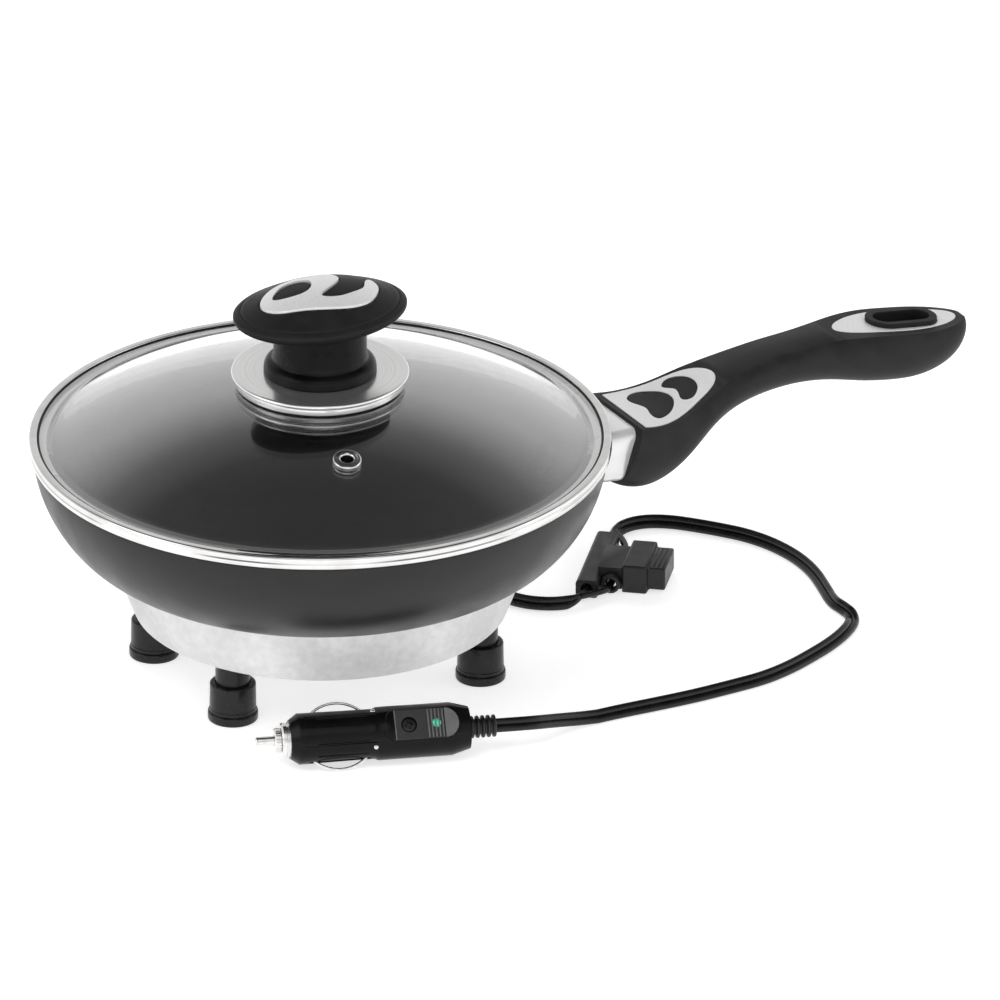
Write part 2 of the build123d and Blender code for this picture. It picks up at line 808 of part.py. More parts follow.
def cap_form(lift=0.0):
    """The oval cap: a rounded rim, a crease and a low dome, flattened across."""
    low = cap_bottom + lift
    edge = low + cap_edge_height
    crease = low + cap_crease_height
    top = low + cap_height
    round_cap = turned(
        Line((0, 0, low), (cap_under_radius, 0, low)),
        ThreePointArc((cap_under_radius, 0, low),
                      (0.2 * cap_under_radius + 0.8 * cap_long_radius, 0,
                       0.62 * low + 0.38 * edge),
                      (cap_long_radius, 0, edge)),
        ThreePointArc((cap_long_radius, 0, edge),
                      (0.25 * cap_crease_radius + 0.75 * cap_long_radius, 0,
                       0.42 * edge + 0.58 * crease),
                      (cap_crease_radius, 0, crease)),
        ThreePointArc((cap_crease_radius, 0, crease), (*cap_dome_point(low),), (0, 0, top)),
        Line((0, 0, top), (0, 0, low)),
    )
    return scale(round_cap, by=(1, cap_short_radius / cap_long_radius, 1))


def cap_dome_point(low):
    """A point half way out on the dome, above a cap whose lower face is at `low`."""
    rise = cap_height - cap_crease_height
    sphere = (cap_crease_radius ** 2 + rise ** 2) / (2 * rise)
    out = cap_crease_radius / 2
    return out, 0, low + cap_height - sphere + sqrt(sphere ** 2 - out ** 2)


def make_knob_cap():
    cap = cap_form() - rod(stem_neck_radius, cap_bottom, stem_top)
    return cap - knob_inlay_blank()


def closed_spline_face(points, height=0.0):
    ring = [(x, y, height) for x, y in points]
    return Face(Wire([Spline(*ring, periodic=True)]))


def knob_inlay_blank():
    """The bright swirl, from its floor in the cap upwards, in shares of the cap."""
    swirl = ((0.276, 0.179), (0.218, 0.336), (0.038, 0.389), (-0.165, 0.443), (-0.368, 0.425),
             (-0.588, 0.279), (-0.712, 0.050), (-0.659, -0.193), (-0.426, -0.393),
             (-0.162, -0.539), (0.118, -0.618), (0.382, -0.557), (0.571, -0.350), (0.650, -0.114),
             (0.624, 0.021), (0.547, -0.043), (0.441, -0.243), (0.235, -0.364), (0.015, -0.386),
             (-0.103, -0.300), (0.006, -0.179), (0.194, -0.029))
    almond = ((-0.559, 0.086), (-0.418, 0.261), (-0.218, 0.332), (-0.065, 0.200), (-0.129, -0.029),
              (-0.371, -0.100))
    low = cap_bottom + cap_crease_height
    high = cap_top + cap_height

    def upright(shares):
        points = [(x * cap_long_radius, y * cap_short_radius) for x, y in shares]
        return extrude(closed_spline_face(points, low), amount=high - low, dir=(0, 0, 1))

    return upright(swirl) - upright(almond) - cap_form(-knob_inlay_depth)


def make_knob_inlay():
    return knob_inlay_blank() & cap_form(knob_inlay_rise)


def washer_bottom():
    return crown_height - glass_thickness - knob_washer_thickness - knob_washer_settle


def make_knob_screw():
    """A screw from below the glass, up through it into the stem."""
    seat = washer_bottom()
    top = skirt_top + knob_screw_bore - m4_radius
    screw = rod(m4_head_radius, seat - m4_head_height, seat)
    return screw + rod(m4_radius, seat, top)


def make_knob_washer():
    """A soft washer that fills the gap under the curved glass."""
    washer = rod(knob_washer_radius, washer_bottom(), crown_height - glass_thickness)
    washer -= rod(m4_radius + hole_gap, washer_bottom(), crown_height)
    return washer - nodes["lid_glass"]


# ================================================================ handle
def from_rim(x, z=0.0):
    """A point of the handle's side view, from the pan's rim and the tang's centre line."""
    return pan_rim_radius + x, tang_height + z


def ahead_of_grip():
    """Everything on the pan's side of the grip's sloping front face."""
    slope = (grip_front_high[0] - grip_front_low[0]) / (grip_front_high[1] - grip_front_low[1])
    low, high = -tang_drop, tang_drop

    def front(z):
        return from_rim(grip_front_low[0] + (z - grip_front_low[1]) * slope, z)

    back = (0, tang_height + high), (0, tang_height + low)
    return side_prism([front(low), front(high), *back], grip_span)


def grip_section(reach, top_rise, bottom_rise, top_half, widest):
    """One cross-section: flat on top, rounded below."""
    x, top = from_rim(reach, top_rise)
    bottom = tang_height + bottom_rise
    height = top - bottom
    flat = Line((x, -top_half, top), (x, top_half, top))
    belly = Spline(
        (x, top_half, top),
        (x, widest, top - 0.40 * height),
        (x, 0.70 * widest, bottom + 0.13 * height),
        (x, 0, bottom),
        (x, -0.70 * widest, bottom + 0.13 * height),
        (x, -widest, top - 0.40 * height),
        (x, -top_half, top),
    )
    return Face(Wire([flat, belly]))


def grip_top_band(rise, depth):
    """A slab that follows the grip's top face, from `rise` above to `depth` below."""
    side = grip_span / 2

    def rail(lift, stations):
        corners = [from_rim(station[0], station[1] + lift) for station in stations]
        return Spline(*[(x, side, z) for x, z in corners])

    upper = rail(rise, grip_stations)
    lower = rail(-depth, grip_stations[::-1])
    face = Face(Wire([upper, Line(upper @ 1, lower @ 0), lower, Line(lower @ 1, upper @ 0)]))
    return extrude(face, amount=grip_span, dir=(0, -1, 0))


def front_inlay_plan():
    """The front inlay in plan, with its two kidney windows, in shares of its size."""
    side = ((0.000, 0.907), (0.186, 0.948), (0.449, 0.884), (0.738, 0.709), (0.948, 0.349),
            (1.000, -0.058), (0.908, -0.442), (0.667, -0.698), (0.449, -0.872), (0.226, -1.000),
            (0.000, -0.988))
    big = ((0.202, 0.605), (0.312, 0.721), (0.438, 0.570), (0.528, 0.267), (0.538, -0.081),
           (0.465, -0.407), (0.333, -0.651), (0.228, -0.686), (0.202, -0.465), (0.236, -0.058))
    small = ((0.580, 0.570), (0.664, 0.651), (0.753, 0.512), (0.811, 0.233), (0.806, -0.093),
             (0.743, -0.349), (0.648, -0.465), (0.591, -0.372), (0.601, -0.116), (0.617, 0.209))

    def placed(shares):
        return [(pan_rim_radius + front_inlay_start + x * front_inlay_length,
                 y * front_inlay_half_width) for x, y in shares]

    outline = [(x, y, 0) for x, y in placed(side)]
    face = Face(Wire([Spline(*outline), Line(outline[-1], outline[0])]))
    plan = extrude(face, amount=band_top, dir=(0, 0, 1))
    for window in (big, small):
        plan -= extrude(closed_spline_face(placed(window)), amount=band_top, dir=(0, 0, 1))
    return plan


def tail_inlay_plan():
    x, y = tail_inlay_centre
    oval = Ellipse(tail_inlay_half_length, tail_inlay_half_width)
    return Pos(pan_rim_radius + x, y, 0) * extrude(oval, band_top) - hang_prism(eyelet_wall)


def hang_prism(out):
    """The hanging hole's upright stadium, `out` larger all round."""
    sketch = SlotOverall(hang_hole_length + 2 * out, hang_hole_width + 2 * out)
    return Pos(pan_rim_radius + hang_hole_centre, 0, 0) * extrude(sketch, band_top)


def make_handle_front_inlay():
    return front_inlay_plan() & grip_top_band(inlay_rise, inlay_depth)


def make_handle_tail_inlay():
    return tail_inlay_plan() & grip_top_band(inlay_rise, inlay_depth)


def make_hang_eyelet():
    """A raised black rim that lines the top of the hanging hole."""
    ring = hang_prism(eyelet_wall) - hang_prism(0)
    return ring & grip_top_band(eyelet_rise, eyelet_depth)


def tang_box(gap, end_gap=0.0):
    half_y, half_z = tang_width / 2 + gap, tang_thickness / 2 + gap
    start = pan_rim_radius - tang_root
    end = pan_rim_radius + tang_length + end_gap
    return block((start, -half_y, tang_height - half_z), (end, half_y, tang_height + half_z))


def handle_screw_seat():
    """Height of the screw's seat, one wall below the tang."""
    return tang_height - tang_thickness / 2 - handle_screw_cover


def handle_screw_axis():
    return pan_rim_radius + handle_screw_place, 0


def make_handle_grip():
    grip = loft([grip_section(*station) for station in grip_stations])
    grip -= ahead_of_grip()
    grip -= tang_box(pocket_gap, stud_runout)
    grip -= hang_prism(0)
    grip -= nodes["handle_front_inlay"]
    grip -= nodes["handle_tail_inlay"]
    grip -= nodes["hang_eyelet"]
    seat = handle_screw_seat()
    place = handle_screw_axis()
    grip -= rod(m4_head_radius + hole_gap, stand_height, seat, place)
    return grip - rod(m4_radius + hole_gap, seat, tang_height, place)


def make_handle_bracket():
    half_y, half_z = plate_width / 2, plate_height / 2
    zone = block((0, -half_y, tang_height - half_z),
                 (pan_rim_radius + tang_length, half_y, tang_height + half_z))
    plate = (pan_envelope(plate_thickness) & zone) - pan_envelope()
    bracket = plate + (tang_box(0) - pan_envelope())
    for y in rivet_places:
        bracket -= rivet_bore(rivet_radius, y)
        bracket -= rivet_clearance(y)
    bracket -= rod(m4_radius + thread_gap, tang_height - tang_thickness,
                   tang_height + tang_thickness, handle_screw_axis())
    return max(bracket.solids(), key=lambda solid: solid.volume)


def rivet_clearance(y):
    """Room for the rivet's outer head in the bracket."""
    return rivet_blank(y) - pan_envelope(plate_thickness)


def rivet_blank(y):
    """A bar as thick as a rivet's head, through the pan's wall and the plate."""
    end = pan_rim_radius + 2 * plate_thickness
    return Pos(0, y, tang_height) * bar_x(rivet_head_radius, pan_foot_radius, end)


def make_bracket_rivets():
    rivets = []
    for y in rivet_places:
        shank = rivet_bore(rivet_radius, y) - pan_cavity()
        shank = shank & pan_envelope(plate_thickness)
        blank = rivet_blank(y)
        outer = (blank & pan_envelope(plate_thickness + rivet_head_height)) \
            - pan_envelope(plate_thickness)
        shell_in = pan_cavity() - (Pos(-rivet_head_height, 0, 0) * pan_cavity())
        inner = blank & shell_in
        inner = max(inner.solids(), key=lambda solid: solid.center().X)
        rivets.append(shank + outer + inner)
    return joined(rivets)


def ferrule_body(inset):
    """A tapered box with rounded edges, `inset` smaller all round."""
    sections = []
    widths = (ferrule_pan_width, ferrule_grip_width)
    for reach, width, high, low in zip(ferrule_span, widths, ferrule_top, ferrule_bottom):
        outline = RectangleRounded(width - 2 * inset, high - low - 2 * inset,
                                   ferrule_corner - inset / 2)
        x, middle = from_rim(reach, 0.5 * (high + low))
        plane = Plane(origin=(x, 0, middle), x_dir=(0, 1, 0), z_dir=(1, 0, 0))
        sections.append(plane * outline)
    return loft(sections)


def make_ferrule():
    shell = ferrule_body(0) - ferrule_body(ferrule_sheet)
    shell = shell & ahead_of_grip()
    shell -= pan_envelope()
    return max(shell.solids(), key=lambda solid: solid.volume)


def make_handle_screw():
    seat = handle_screw_seat()
    return screw_up(m4_radius, m4_head_radius, m4_head_height, handle_screw_length, seat,
                    handle_screw_axis())


# ================================================================ fuse holder
def holder_frame():
    """+X along the fuse axis, +Y along the sleeve, origin under its middle."""
    return Pos(*holder_centre, 0) * Rot(0, 0, holder_angle)


def on_holder(x, y, z):
    spot = holder_frame() * Pos(x, y, z)
    return (spot.position.X, spot.position.Y, spot.position.Z)


socket_start = sleeve_width / 2
socket_end = socket_start + socket_length
cap_start = socket_end + slide_gap
cap_end = cap_start + cap_collar_length + cap_end_length


def fuse_outline(gap, deeper=0.0):
    """Space of the fuse's body and blades, `gap` larger all round."""
    length, width, thick = fuse_body
    start = cap_start + fuse_stand_off
    body = block((start - gap, socket_offset - width / 2 - gap, fuse_height - thick / 2 - gap),
                 (start + length + gap + deeper, socket_offset + width / 2 + gap,
                  fuse_height + thick / 2 + gap))
    blades = []
    for side in (-1, 1):
        y = socket_offset + side * blade_spread / 2
        blades.append(block((start - blade_length, y - blade_width / 2 - gap,
                             fuse_height - blade_thickness / 2 - gap),
                            (start, y + blade_width / 2 + gap,
                             fuse_height + blade_thickness / 2 + gap)))
    return body, blades


def make_fuse_holder_body():
    half = sleeve_width / 2
    sleeve = block((-half, -sleeve_length / 2, 0), (half, sleeve_length / 2, sleeve_height))
    sleeve = fillet(sleeve.edges().filter_by(Axis.Y), sleeve_edge_radius)
    for side in (-1, 1):
        bore = Pos(0, side * (sleeve_length - sleeve_bore_depth) / 2, sleeve_wire_height) \
            * Rot(90, 0, 0) * Cylinder(sleeve_bore_radius, sleeve_bore_depth)
        sleeve -= bore
    socket = block((socket_start - sleeve_edge_radius, socket_offset - socket_width / 2,
                    socket_floor),
                   (socket_end, socket_offset + socket_width / 2, socket_height))
    holder = sleeve + socket
    holder -= block((bypass_place - bypass_groove_width / 2, -sleeve_length, 0),
                    (bypass_place + bypass_groove_width / 2, sleeve_length, bypass_groove_top))
    for blade in fuse_outline(0.0)[1]:
        holder -= blade
    return holder_frame() * holder


def make_fuse_holder_cap():
    half_y, high = cap_collar_width / 2, cap_collar_height
    cap = block((cap_start, socket_offset - half_y, 0),
                (cap_start + cap_collar_length, socket_offset + half_y, high))
    cap += block((cap_start + cap_collar_length, socket_offset - cap_end_width / 2,
                  fuse_height - cap_end_height / 2),
                 (cap_end, socket_offset + cap_end_width / 2, fuse_height + cap_end_height / 2))
    length, width, thick = fuse_body
    gap = slide_gap
    cap -= block((cap_start, socket_offset - width / 2 - gap, fuse_height - thick / 2 - gap),
                 (cap_start + fuse_stand_off + length + gap, socket_offset + width / 2 + gap,
                  fuse_height + thick / 2 + gap))
    return holder_frame() * cap


def make_blade_fuse():
    body, blades = fuse_outline(0.0)
    fuse = body + blades[0] + blades[1]
    return holder_frame() * fuse


def make_fuse_tether():
    """A moulded eye on the socket that the second wire threads through."""
    front = socket_offset - socket_width / 2
    loop = Cylinder(tether_radius, tether_length) \
        - Cylinder(tether_radius - tether_wall, tether_length)
    place = Pos(bypass_place, front - tether_length / 2, tether_height) * Rot(90, 0, 0)
    return holder_frame() * place * loop


# ================================================================ power plug
def plug_frame():
    """+X from the tip to the lead, +Z out of the switch panel."""
    return Pos(*plug_tip_place, plug_axis_height) * Rot(0, 0, plug_heading) * Rot(plug_roll, 0, 0)


def on_plug(x):
    spot = plug_frame() * Pos(x, 0, 0)
    return (spot.position.X, spot.position.Y, spot.position.Z)


ring_start = pin_reach
flange_start = ring_start + ring_length
nose_start = flange_start + flange_length
barrel_start = nose_start + nose_length
housing_start = barrel_start + barrel_length
housing_end = housing_start + housing_length
relief_end = housing_end + relief_length
pin_bore_radius = pin_radius + pivot_gap


def turned_x(*outline):
    """A solid of revolution about X from (x, radius) corners."""
    face = Face(Wire.make_polygon([(x, r, 0) for x, r in outline]))
    return revolve(face, Axis.X)


def contact_slot(side):
    """The slot that one bow contact works in."""
    half = contact_wire_radius + slide_gap
    start = contact_start - contact_wire_radius - slide_gap
    end = contact_start + contact_length + contact_wire_radius + slide_gap
    floor = barrel_radius - contact_foot_depth - contact_wire_radius - contact_travel - slide_gap
    low, high = sorted((side * floor, side * 2 * barrel_radius))
    return block((start, low, -half), (end, high, half))


def plug_solid():
    """The plug's moulded body before it is split into two halves."""
    body = turned_x(
        (nose_start, 0), (nose_start, nose_radius), (barrel_start, barrel_radius),
        (housing_start, waist_radius), (housing_start + housing_lip, housing_radius),
        (housing_end - housing_taper, housing_radius), (housing_end, housing_end_radius),
        (housing_end, 0))
    bore_end = nose_start + plug_bore_length
    body -= bar_x(plug_bore_radius, nose_start, bore_end)
    for side in (-1, 1):
        body -= contact_slot(side)
    body -= block((panel_start, -panel_width / 2, panel_height),
                  (panel_start + panel_length, panel_width / 2, 2 * housing_radius))
    body -= relief_solid()
    body -= Pos(led_place, 0, panel_height - led_height / 2) * Cylinder(led_radius, led_height)
    body -= Pos(plug_screw_place, 0, 0) * Cylinder(m3_radius + thread_gap, 3 * housing_radius)
    screw_seat = panel_height - m3_head_height
    head = rod(m3_head_radius + hole_gap, screw_seat, 2 * housing_radius, (plug_screw_place, 0))
    return body - head


def relief_solid():
    """The ribbed strain relief, with a foot held inside the housing."""
    outline = [(housing_end - relief_foot_depth, 0),
               (housing_end - relief_foot_depth, relief_foot_radius),
               (housing_end - relief_foot_depth / 2, relief_foot_radius),
               (housing_end - relief_foot_depth / 2, relief_neck_radius)]
    pitch = relief_length / relief_ribs
    for rib in range(relief_ribs):
        start = housing_end + rib * pitch + 0.3 * pitch
        end = start + 0.6 * pitch
        outline += [(start, relief_neck_radius), (start, relief_radius),
                    (end, relief_radius), (end, relief_neck_radius)]
    outline += [(relief_end, relief_neck_radius), (relief_end, 0)]
    return turned_x(*outline)


def half_space(side):
    """The half of the plug on one side of its split plane."""
    reach = 3 * housing_radius
    low, high = sorted((0, side * reach))
    return block((0, -reach, low), (relief_end, reach, high))


def make_plug_shell(side):
    shell = plug_solid() & half_space(side)
    return plug_frame() * shell


def make_plug_screw():
    seat = panel_height - m3_head_height
    screw = rod(m3_head_radius, seat, panel_height, (plug_screw_place, 0))
    screw += rod(m3_radius, seat - plug_screw_length, seat, (plug_screw_place, 0))
    return plug_frame() * screw


def make_plug_led():
    led = Pos(led_place, 0, panel_height - led_height / 2 + led_rise / 2) \
        * Cylinder(led_radius, led_height + led_rise)
    return plug_frame() * led


def make_plug_flange():
    flange = turned_x((flange_start, 0), (flange_start, flange_radius - flange_chamfer),
                      (flange_start + flange_chamfer, flange_radius), (nose_start, flange_radius),
                      (nose_start, 0))
    return plug_frame() * (flange - bar_x(pin_bore_radius, flange_start, nose_start))


def make_nose_ring():
    """The knurled ring that screws off to change the fuse."""
    ring = bar_x(ring_radius, ring_start, flange_start)
    ring -= bar_x(pin_bore_radius, ring_start, flange_start)
    middle = Pos(0.5 * (ring_start + flange_start), 0, ring_radius)
    groove = middle * Rot(45, 0, 0) * Box(2 * ring_length, ring_radius / 9, ring_radius / 9)
    for notch in range(ring_notches):
        ring -= Rot(360 / ring_notches * notch, 0, 0) * groove
    return plug_frame() * ring


def make_plug_pin():
    """The sprung centre contact and its collar."""
    pin = bar_x(pin_radius, pin_tip_length, nose_start + pin_inside)
    pin += turned_x((0, 0), (0, 0.6 * pin_radius), (pin_tip_length, pin_radius),
                    (pin_tip_length, 0))
    collar = nose_start + pin_collar_gap
    pin += bar_x(pin_collar_radius, collar, collar + pin_collar_length)
    return plug_frame() * pin


def fuse_tube_start():
    """The fuse lies behind the pin's end at full travel."""
    return nose_start + pin_inside + pin_travel + 2 * spring_wire_radius


def make_pin_spring():
    """A coil spring behind the pin's collar, pressing on the fuse."""
    start = nose_start + pin_collar_gap + pin_collar_length + spring_wire_radius
    end = fuse_tube_start() - spring_wire_radius
    helix = Helix(pitch=(end - start) / spring_turns, height=end - start,
                  radius=pin_collar_radius - spring_wire_radius)
    section = Plane(origin=helix @ 0, z_dir=helix % 0) * Circle(spring_wire_radius)
    spring = sweep(section, helix, is_frenet=True)
    return plug_frame() * Pos(start, 0, 0) * Rot(0, 90, 0) * spring


def make_plug_fuse():
    start = fuse_tube_start()
    end = start + fuse_tube_length
    tube = bar_x(fuse_tube_radius - fuse_tube_inset, start, end)
    tube += bar_x(fuse_tube_radius, start, start + fuse_tube_cap)
    return plug_frame() * (tube + bar_x(fuse_tube_radius, end - fuse_tube_cap, end))


def make_side_contact(side):
    """A sprung bow of round wire in its slot."""
    foot = side * (barrel_radius - contact_foot_depth)
    top = side * (barrel_radius + contact_bulge - contact_wire_radius)
    end = contact_start + contact_length
    bow = ThreePointArc((contact_start, foot, 0), (0.5 * (contact_start + end), top, 0),
                        (end, foot, 0))
    wire = sweep(Plane(origin=bow @ 0, z_dir=bow % 0) * Circle(contact_wire_radius), bow)
    return plug_frame() * wire


def make_strain_relief():
    return plug_frame() * relief_solid()


# ================================================================ lead
def inner_route():
    """From the base's grommet round the back of the pan to the fuse holder."""
    start_radius = wall_radius(cord_exit_height) + grommet_flange
    ground = cord_on_table
    sleeve_end = on_holder(0, -sleeve_length / 2 + sleeve_bore_depth, sleeve_wire_height)
    sleeve_bend = on_holder(-7.2, -sleeve_length / 2 - 13.0, 2.4)
    sleeve_lead = on_holder(0, -sleeve_length / 2 - 6.0, sleeve_wire_height)
    return [
        polar(start_radius, cord_exit_angle, cord_exit_height),
        polar(start_radius + 10.0, cord_exit_angle, cord_exit_height - 0.5),
        (50.0, 83.5, 24.5),
        (59.5, 87.0, 13.5),
        (69.5, 81.5, 4.6),
        (77.5, 69.5, ground),
        (82.5, 55.0, ground),
        (84.0, 39.0, ground),
        (82.6, 23.0, ground),
        (82.4, 9.0, ground),
        (87.2, -1.6, ground),
        sleeve_bend,
        sleeve_lead,
        sleeve_end,
    ]


def main_route():
    """From the fuse holder round in a wide loop to the plug."""
    ground = cord_on_table
    sleeve_end = on_holder(0, sleeve_length / 2 - sleeve_bore_depth, sleeve_wire_height)
    sleeve_lead = on_holder(0, sleeve_length / 2 + 5.5, sleeve_wire_height)
    relief = on_plug(relief_end)
    relief_lead = on_plug(relief_end + 12.0)
    return [
        sleeve_end,
        sleeve_lead,
        (151.6, 39.6, 2.1),
        (160.0, 39.8, ground),
        (168.6, 34.8, ground),
        (175.8, 26.7, ground),
        (182.3, 18.2, ground),
        (188.1, 9.5, ground),
        (192.5, -2.0, ground),
        (194.7, -16.0, ground),
        (194.2, -31.0, ground),
        (191.4, -46.0, ground),
        (188.8, -59.5, ground),
        (184.8, -71.0, ground),
        (177.6, -79.6, ground),
        (167.6, -85.6, ground),
        (155.6, -90.8, ground),
        (143.6, -96.2, ground),
        (130.6, -100.2, ground),
        (116.6, -102.2, ground),
        (101.6, -102.8, ground),
        (86.4, -101.6, ground),
        (71.0, -100.0, 1.9),
        (56.5, -99.8, 3.0),
        (42.2, -102.8, 6.4),
        relief_lead,
        relief,
    ]


def bypass_route():
    """The second wire of the lead, past the sleeve and under the fuse's socket."""
    half = sleeve_length / 2
    high = sleeve_wire_height
    return [
        on_holder(-1.2, -half - 6.5, high),
        on_holder(bypass_place - 1.4, -half - 0.2, 0.5 * (bypass_height + high)),
        on_holder(bypass_place, -half + 4.2, bypass_height),
        on_holder(bypass_place, 9.0, bypass_height),
        on_holder(bypass_place - 0.6, half - 0.6, bypass_height),
        on_holder(0.95, half + 8.6, bypass_height),
    ]


# ================================================================ build
nodes["pan"] = make_pan()
nodes["pan_studs"] = make_pan_studs()
nodes["heater_base"] = make_heater_base()
nodes["cord_grommet"] = make_cord_grommet()
nodes["bottom_cover"] = make_bottom_cover()
nodes["cover_screws"] = make_cover_screws()
nodes["base_screws"] = make_base_screws()
nodes["mica_sheets"] = make_mica_sheets()
nodes["heating_element"] = make_heating_element()
nodes["clamp_plate"] = make_clamp_plate()
nodes["clamp_nut"] = make_clamp_nut()
nodes["thermostat"] = make_thermostat()
nodes["thermostat_screws"] = make_thermostat_screws()
nodes["terminal_block"] = make_terminal_block()
nodes["inner_leads"] = make_inner_leads()
for number, foot_angle in enumerate(foot_angles, start=1):
    nodes[f"foot_post_{number}"] = make_foot_post(foot_angle)
    nodes[f"foot_boot_{number}"] = make_foot_boot(foot_angle)
nodes["foot_screws"] = make_foot_screws()
nodes["lid_glass"] = make_lid_glass()
nodes["lid_rim_band"] = make_lid_rim_band()
nodes["vent_eyelet"] = make_vent_eyelet()
nodes["knob_skirt"] = make_knob_skirt()
nodes["knob_stem"] = make_knob_stem()
nodes["knob_cap"] = make_knob_cap()
nodes["knob_inlay"] = make_knob_inlay()
nodes["knob_screw"] = make_knob_screw()
nodes["knob_washer"] = make_knob_washer()
nodes["handle_front_inlay"] = make_handle_front_inlay()
nodes["handle_tail_inlay"] = make_handle_tail_inlay()
nodes["hang_eyelet"] = make_hang_eyelet()
nodes["handle_grip"] = make_handle_grip()
nodes["handle_bracket"] = make_handle_bracket()
nodes["bracket_rivets"] = make_bracket_rivets()
nodes["ferrule"] = make_ferrule()
nodes["handle_screw"] = make_handle_screw()
nodes["fuse_holder_body"] = make_fuse_holder_body()
nodes["fuse_holder_cap"] = make_fuse_holder_cap()
nodes["blade_fuse"] = make_blade_fuse()
nodes["fuse_tether"] = make_fuse_tether()
nodes["plug_shell_upper"] = make_plug_shell(1)
nodes["plug_shell_lower"] = make_plug_shell(-1)
nodes["plug_screw"] = make_plug_screw()
nodes["plug_led"] = make_plug_led()
nodes["plug_flange"] = make_plug_flange()
nodes["nose_ring"] = make_nose_ring()
nodes["plug_pin"] = make_plug_pin()
nodes["pin_spring"] = make_pin_spring()
nodes["plug_fuse"] = make_plug_fuse()
nodes["side_contact_back"] = make_side_contact(1)
nodes["side_contact_front"] = make_side_contact(-1)
nodes["strain_relief"] = make_strain_relief()
nodes["cord_inner"] = cord_tube("cord_inner", inner_route(), cord_diameter)
nodes["cord_main"] = cord_tube("cord_main", main_route(), cord_diameter)
nodes["bypass_lead"] = cord_tube("bypass_lead", bypass_route(), conductor_diameter)

for name, shape in nodes.items():
    export_step(shape, f"parts/{name}.step")
print(len(nodes), "nodes")
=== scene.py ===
# %% [markdown]
# # A 12-volt electric skillet
# A round pan sits on a heated aluminium base with four rubber feet. A glass lid
# lies on its rim, a long handle carries it, and a short twin lead runs through a
# fuse holder to a car power plug. The frame brings every solid at its true size
# and place; this script gives each one the surface that the eye expects.

import json
from math import acos, cos, pi, radians, sin, sqrt

import bmesh
import bpy
from mathutils import Matrix, Vector


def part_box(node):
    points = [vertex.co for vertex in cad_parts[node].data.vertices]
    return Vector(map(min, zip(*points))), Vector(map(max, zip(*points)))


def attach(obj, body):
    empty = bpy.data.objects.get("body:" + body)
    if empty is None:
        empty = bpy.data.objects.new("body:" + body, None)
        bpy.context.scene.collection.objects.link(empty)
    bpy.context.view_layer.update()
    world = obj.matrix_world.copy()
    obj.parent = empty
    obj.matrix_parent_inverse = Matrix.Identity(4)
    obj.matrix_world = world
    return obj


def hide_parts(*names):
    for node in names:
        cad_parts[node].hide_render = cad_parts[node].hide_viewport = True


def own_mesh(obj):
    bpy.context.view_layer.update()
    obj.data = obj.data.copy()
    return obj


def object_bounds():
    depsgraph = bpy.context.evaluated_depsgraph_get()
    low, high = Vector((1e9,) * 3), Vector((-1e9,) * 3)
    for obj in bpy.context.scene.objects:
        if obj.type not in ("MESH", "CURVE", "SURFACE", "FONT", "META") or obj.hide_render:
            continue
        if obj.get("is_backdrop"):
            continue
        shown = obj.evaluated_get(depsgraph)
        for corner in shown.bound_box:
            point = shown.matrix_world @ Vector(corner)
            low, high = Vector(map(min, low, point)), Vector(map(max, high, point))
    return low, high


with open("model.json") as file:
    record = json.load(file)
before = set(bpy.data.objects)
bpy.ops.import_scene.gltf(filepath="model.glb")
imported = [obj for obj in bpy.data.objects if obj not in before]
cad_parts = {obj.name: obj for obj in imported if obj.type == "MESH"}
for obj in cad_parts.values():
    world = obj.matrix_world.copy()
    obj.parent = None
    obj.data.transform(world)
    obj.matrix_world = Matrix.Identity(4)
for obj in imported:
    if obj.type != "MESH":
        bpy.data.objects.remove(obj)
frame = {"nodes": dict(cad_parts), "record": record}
cad_low, cad_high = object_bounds()
nodes = frame["nodes"]
scene = bpy.context.scene
mm = 0.001

# %% [markdown]
# ## The camera
# A long lens from well back keeps the round pan round and the handle straight.
# It looks down a little, so that the inside of the pan shows through the glass.


# %% The camera
def put(name, data):
    """A new object in the scene."""
    thing = bpy.data.objects.new(name, data)
    scene.collection.objects.link(thing)
    return thing


camera_place = (-6.8409, -12.2005, 6.5718)
camera_turn = (65.05, 0.0, -29.552)
camera = put("camera", bpy.data.cameras.new("camera"))
camera.data.lens = 1500.0
camera.data.sensor_width = 36.0
camera.data.clip_start = 1.0
camera.data.clip_end = 100.0
camera.location = camera_place
camera.rotation_euler = [radians(angle) for angle in camera_turn]
scene.camera = camera
scene.view_settings.view_transform = "Standard"

# %% [markdown]
# ## Shared mesh helpers
# Three small tools cover most pieces: one makes an object from points and faces,
# one turns a profile about an axis like a lathe, and one takes a clean copy of a
# solid from the frame so that its edges can be softened. Every finished piece
# keeps its object at the origin, with its place in its mesh.

# %% Mesh helpers
bodies = frame["record"]["behaviour"]["bodies"]
body_of_node = {node: body for body, members in bodies.items() for node in members}
smooth_angle = 32


def new_object(name, vertices, faces):
    """A mesh object from points in millimetres; its faces all point outwards."""
    mesh = bpy.data.meshes.new(name)
    mesh.from_pydata([(x * mm, y * mm, z * mm) for x, y, z in vertices], [], faces)
    return clean(put(name, mesh))


def clean(piece, gap=1e-7):
    """Joins doubled points, turns faces outwards and smooths the gentle edges."""
    work = bmesh.new()
    work.from_mesh(piece.data)
    bmesh.ops.remove_doubles(work, verts=work.verts, dist=gap)
    bmesh.ops.recalc_face_normals(work, faces=work.faces)
    work.to_mesh(piece.data)
    work.free()
    return smooth(piece)


def smooth(piece, angle=smooth_angle):
    piece.data.shade_smooth()
    piece.data.set_sharp_from_angle(angle=radians(angle))
    return piece


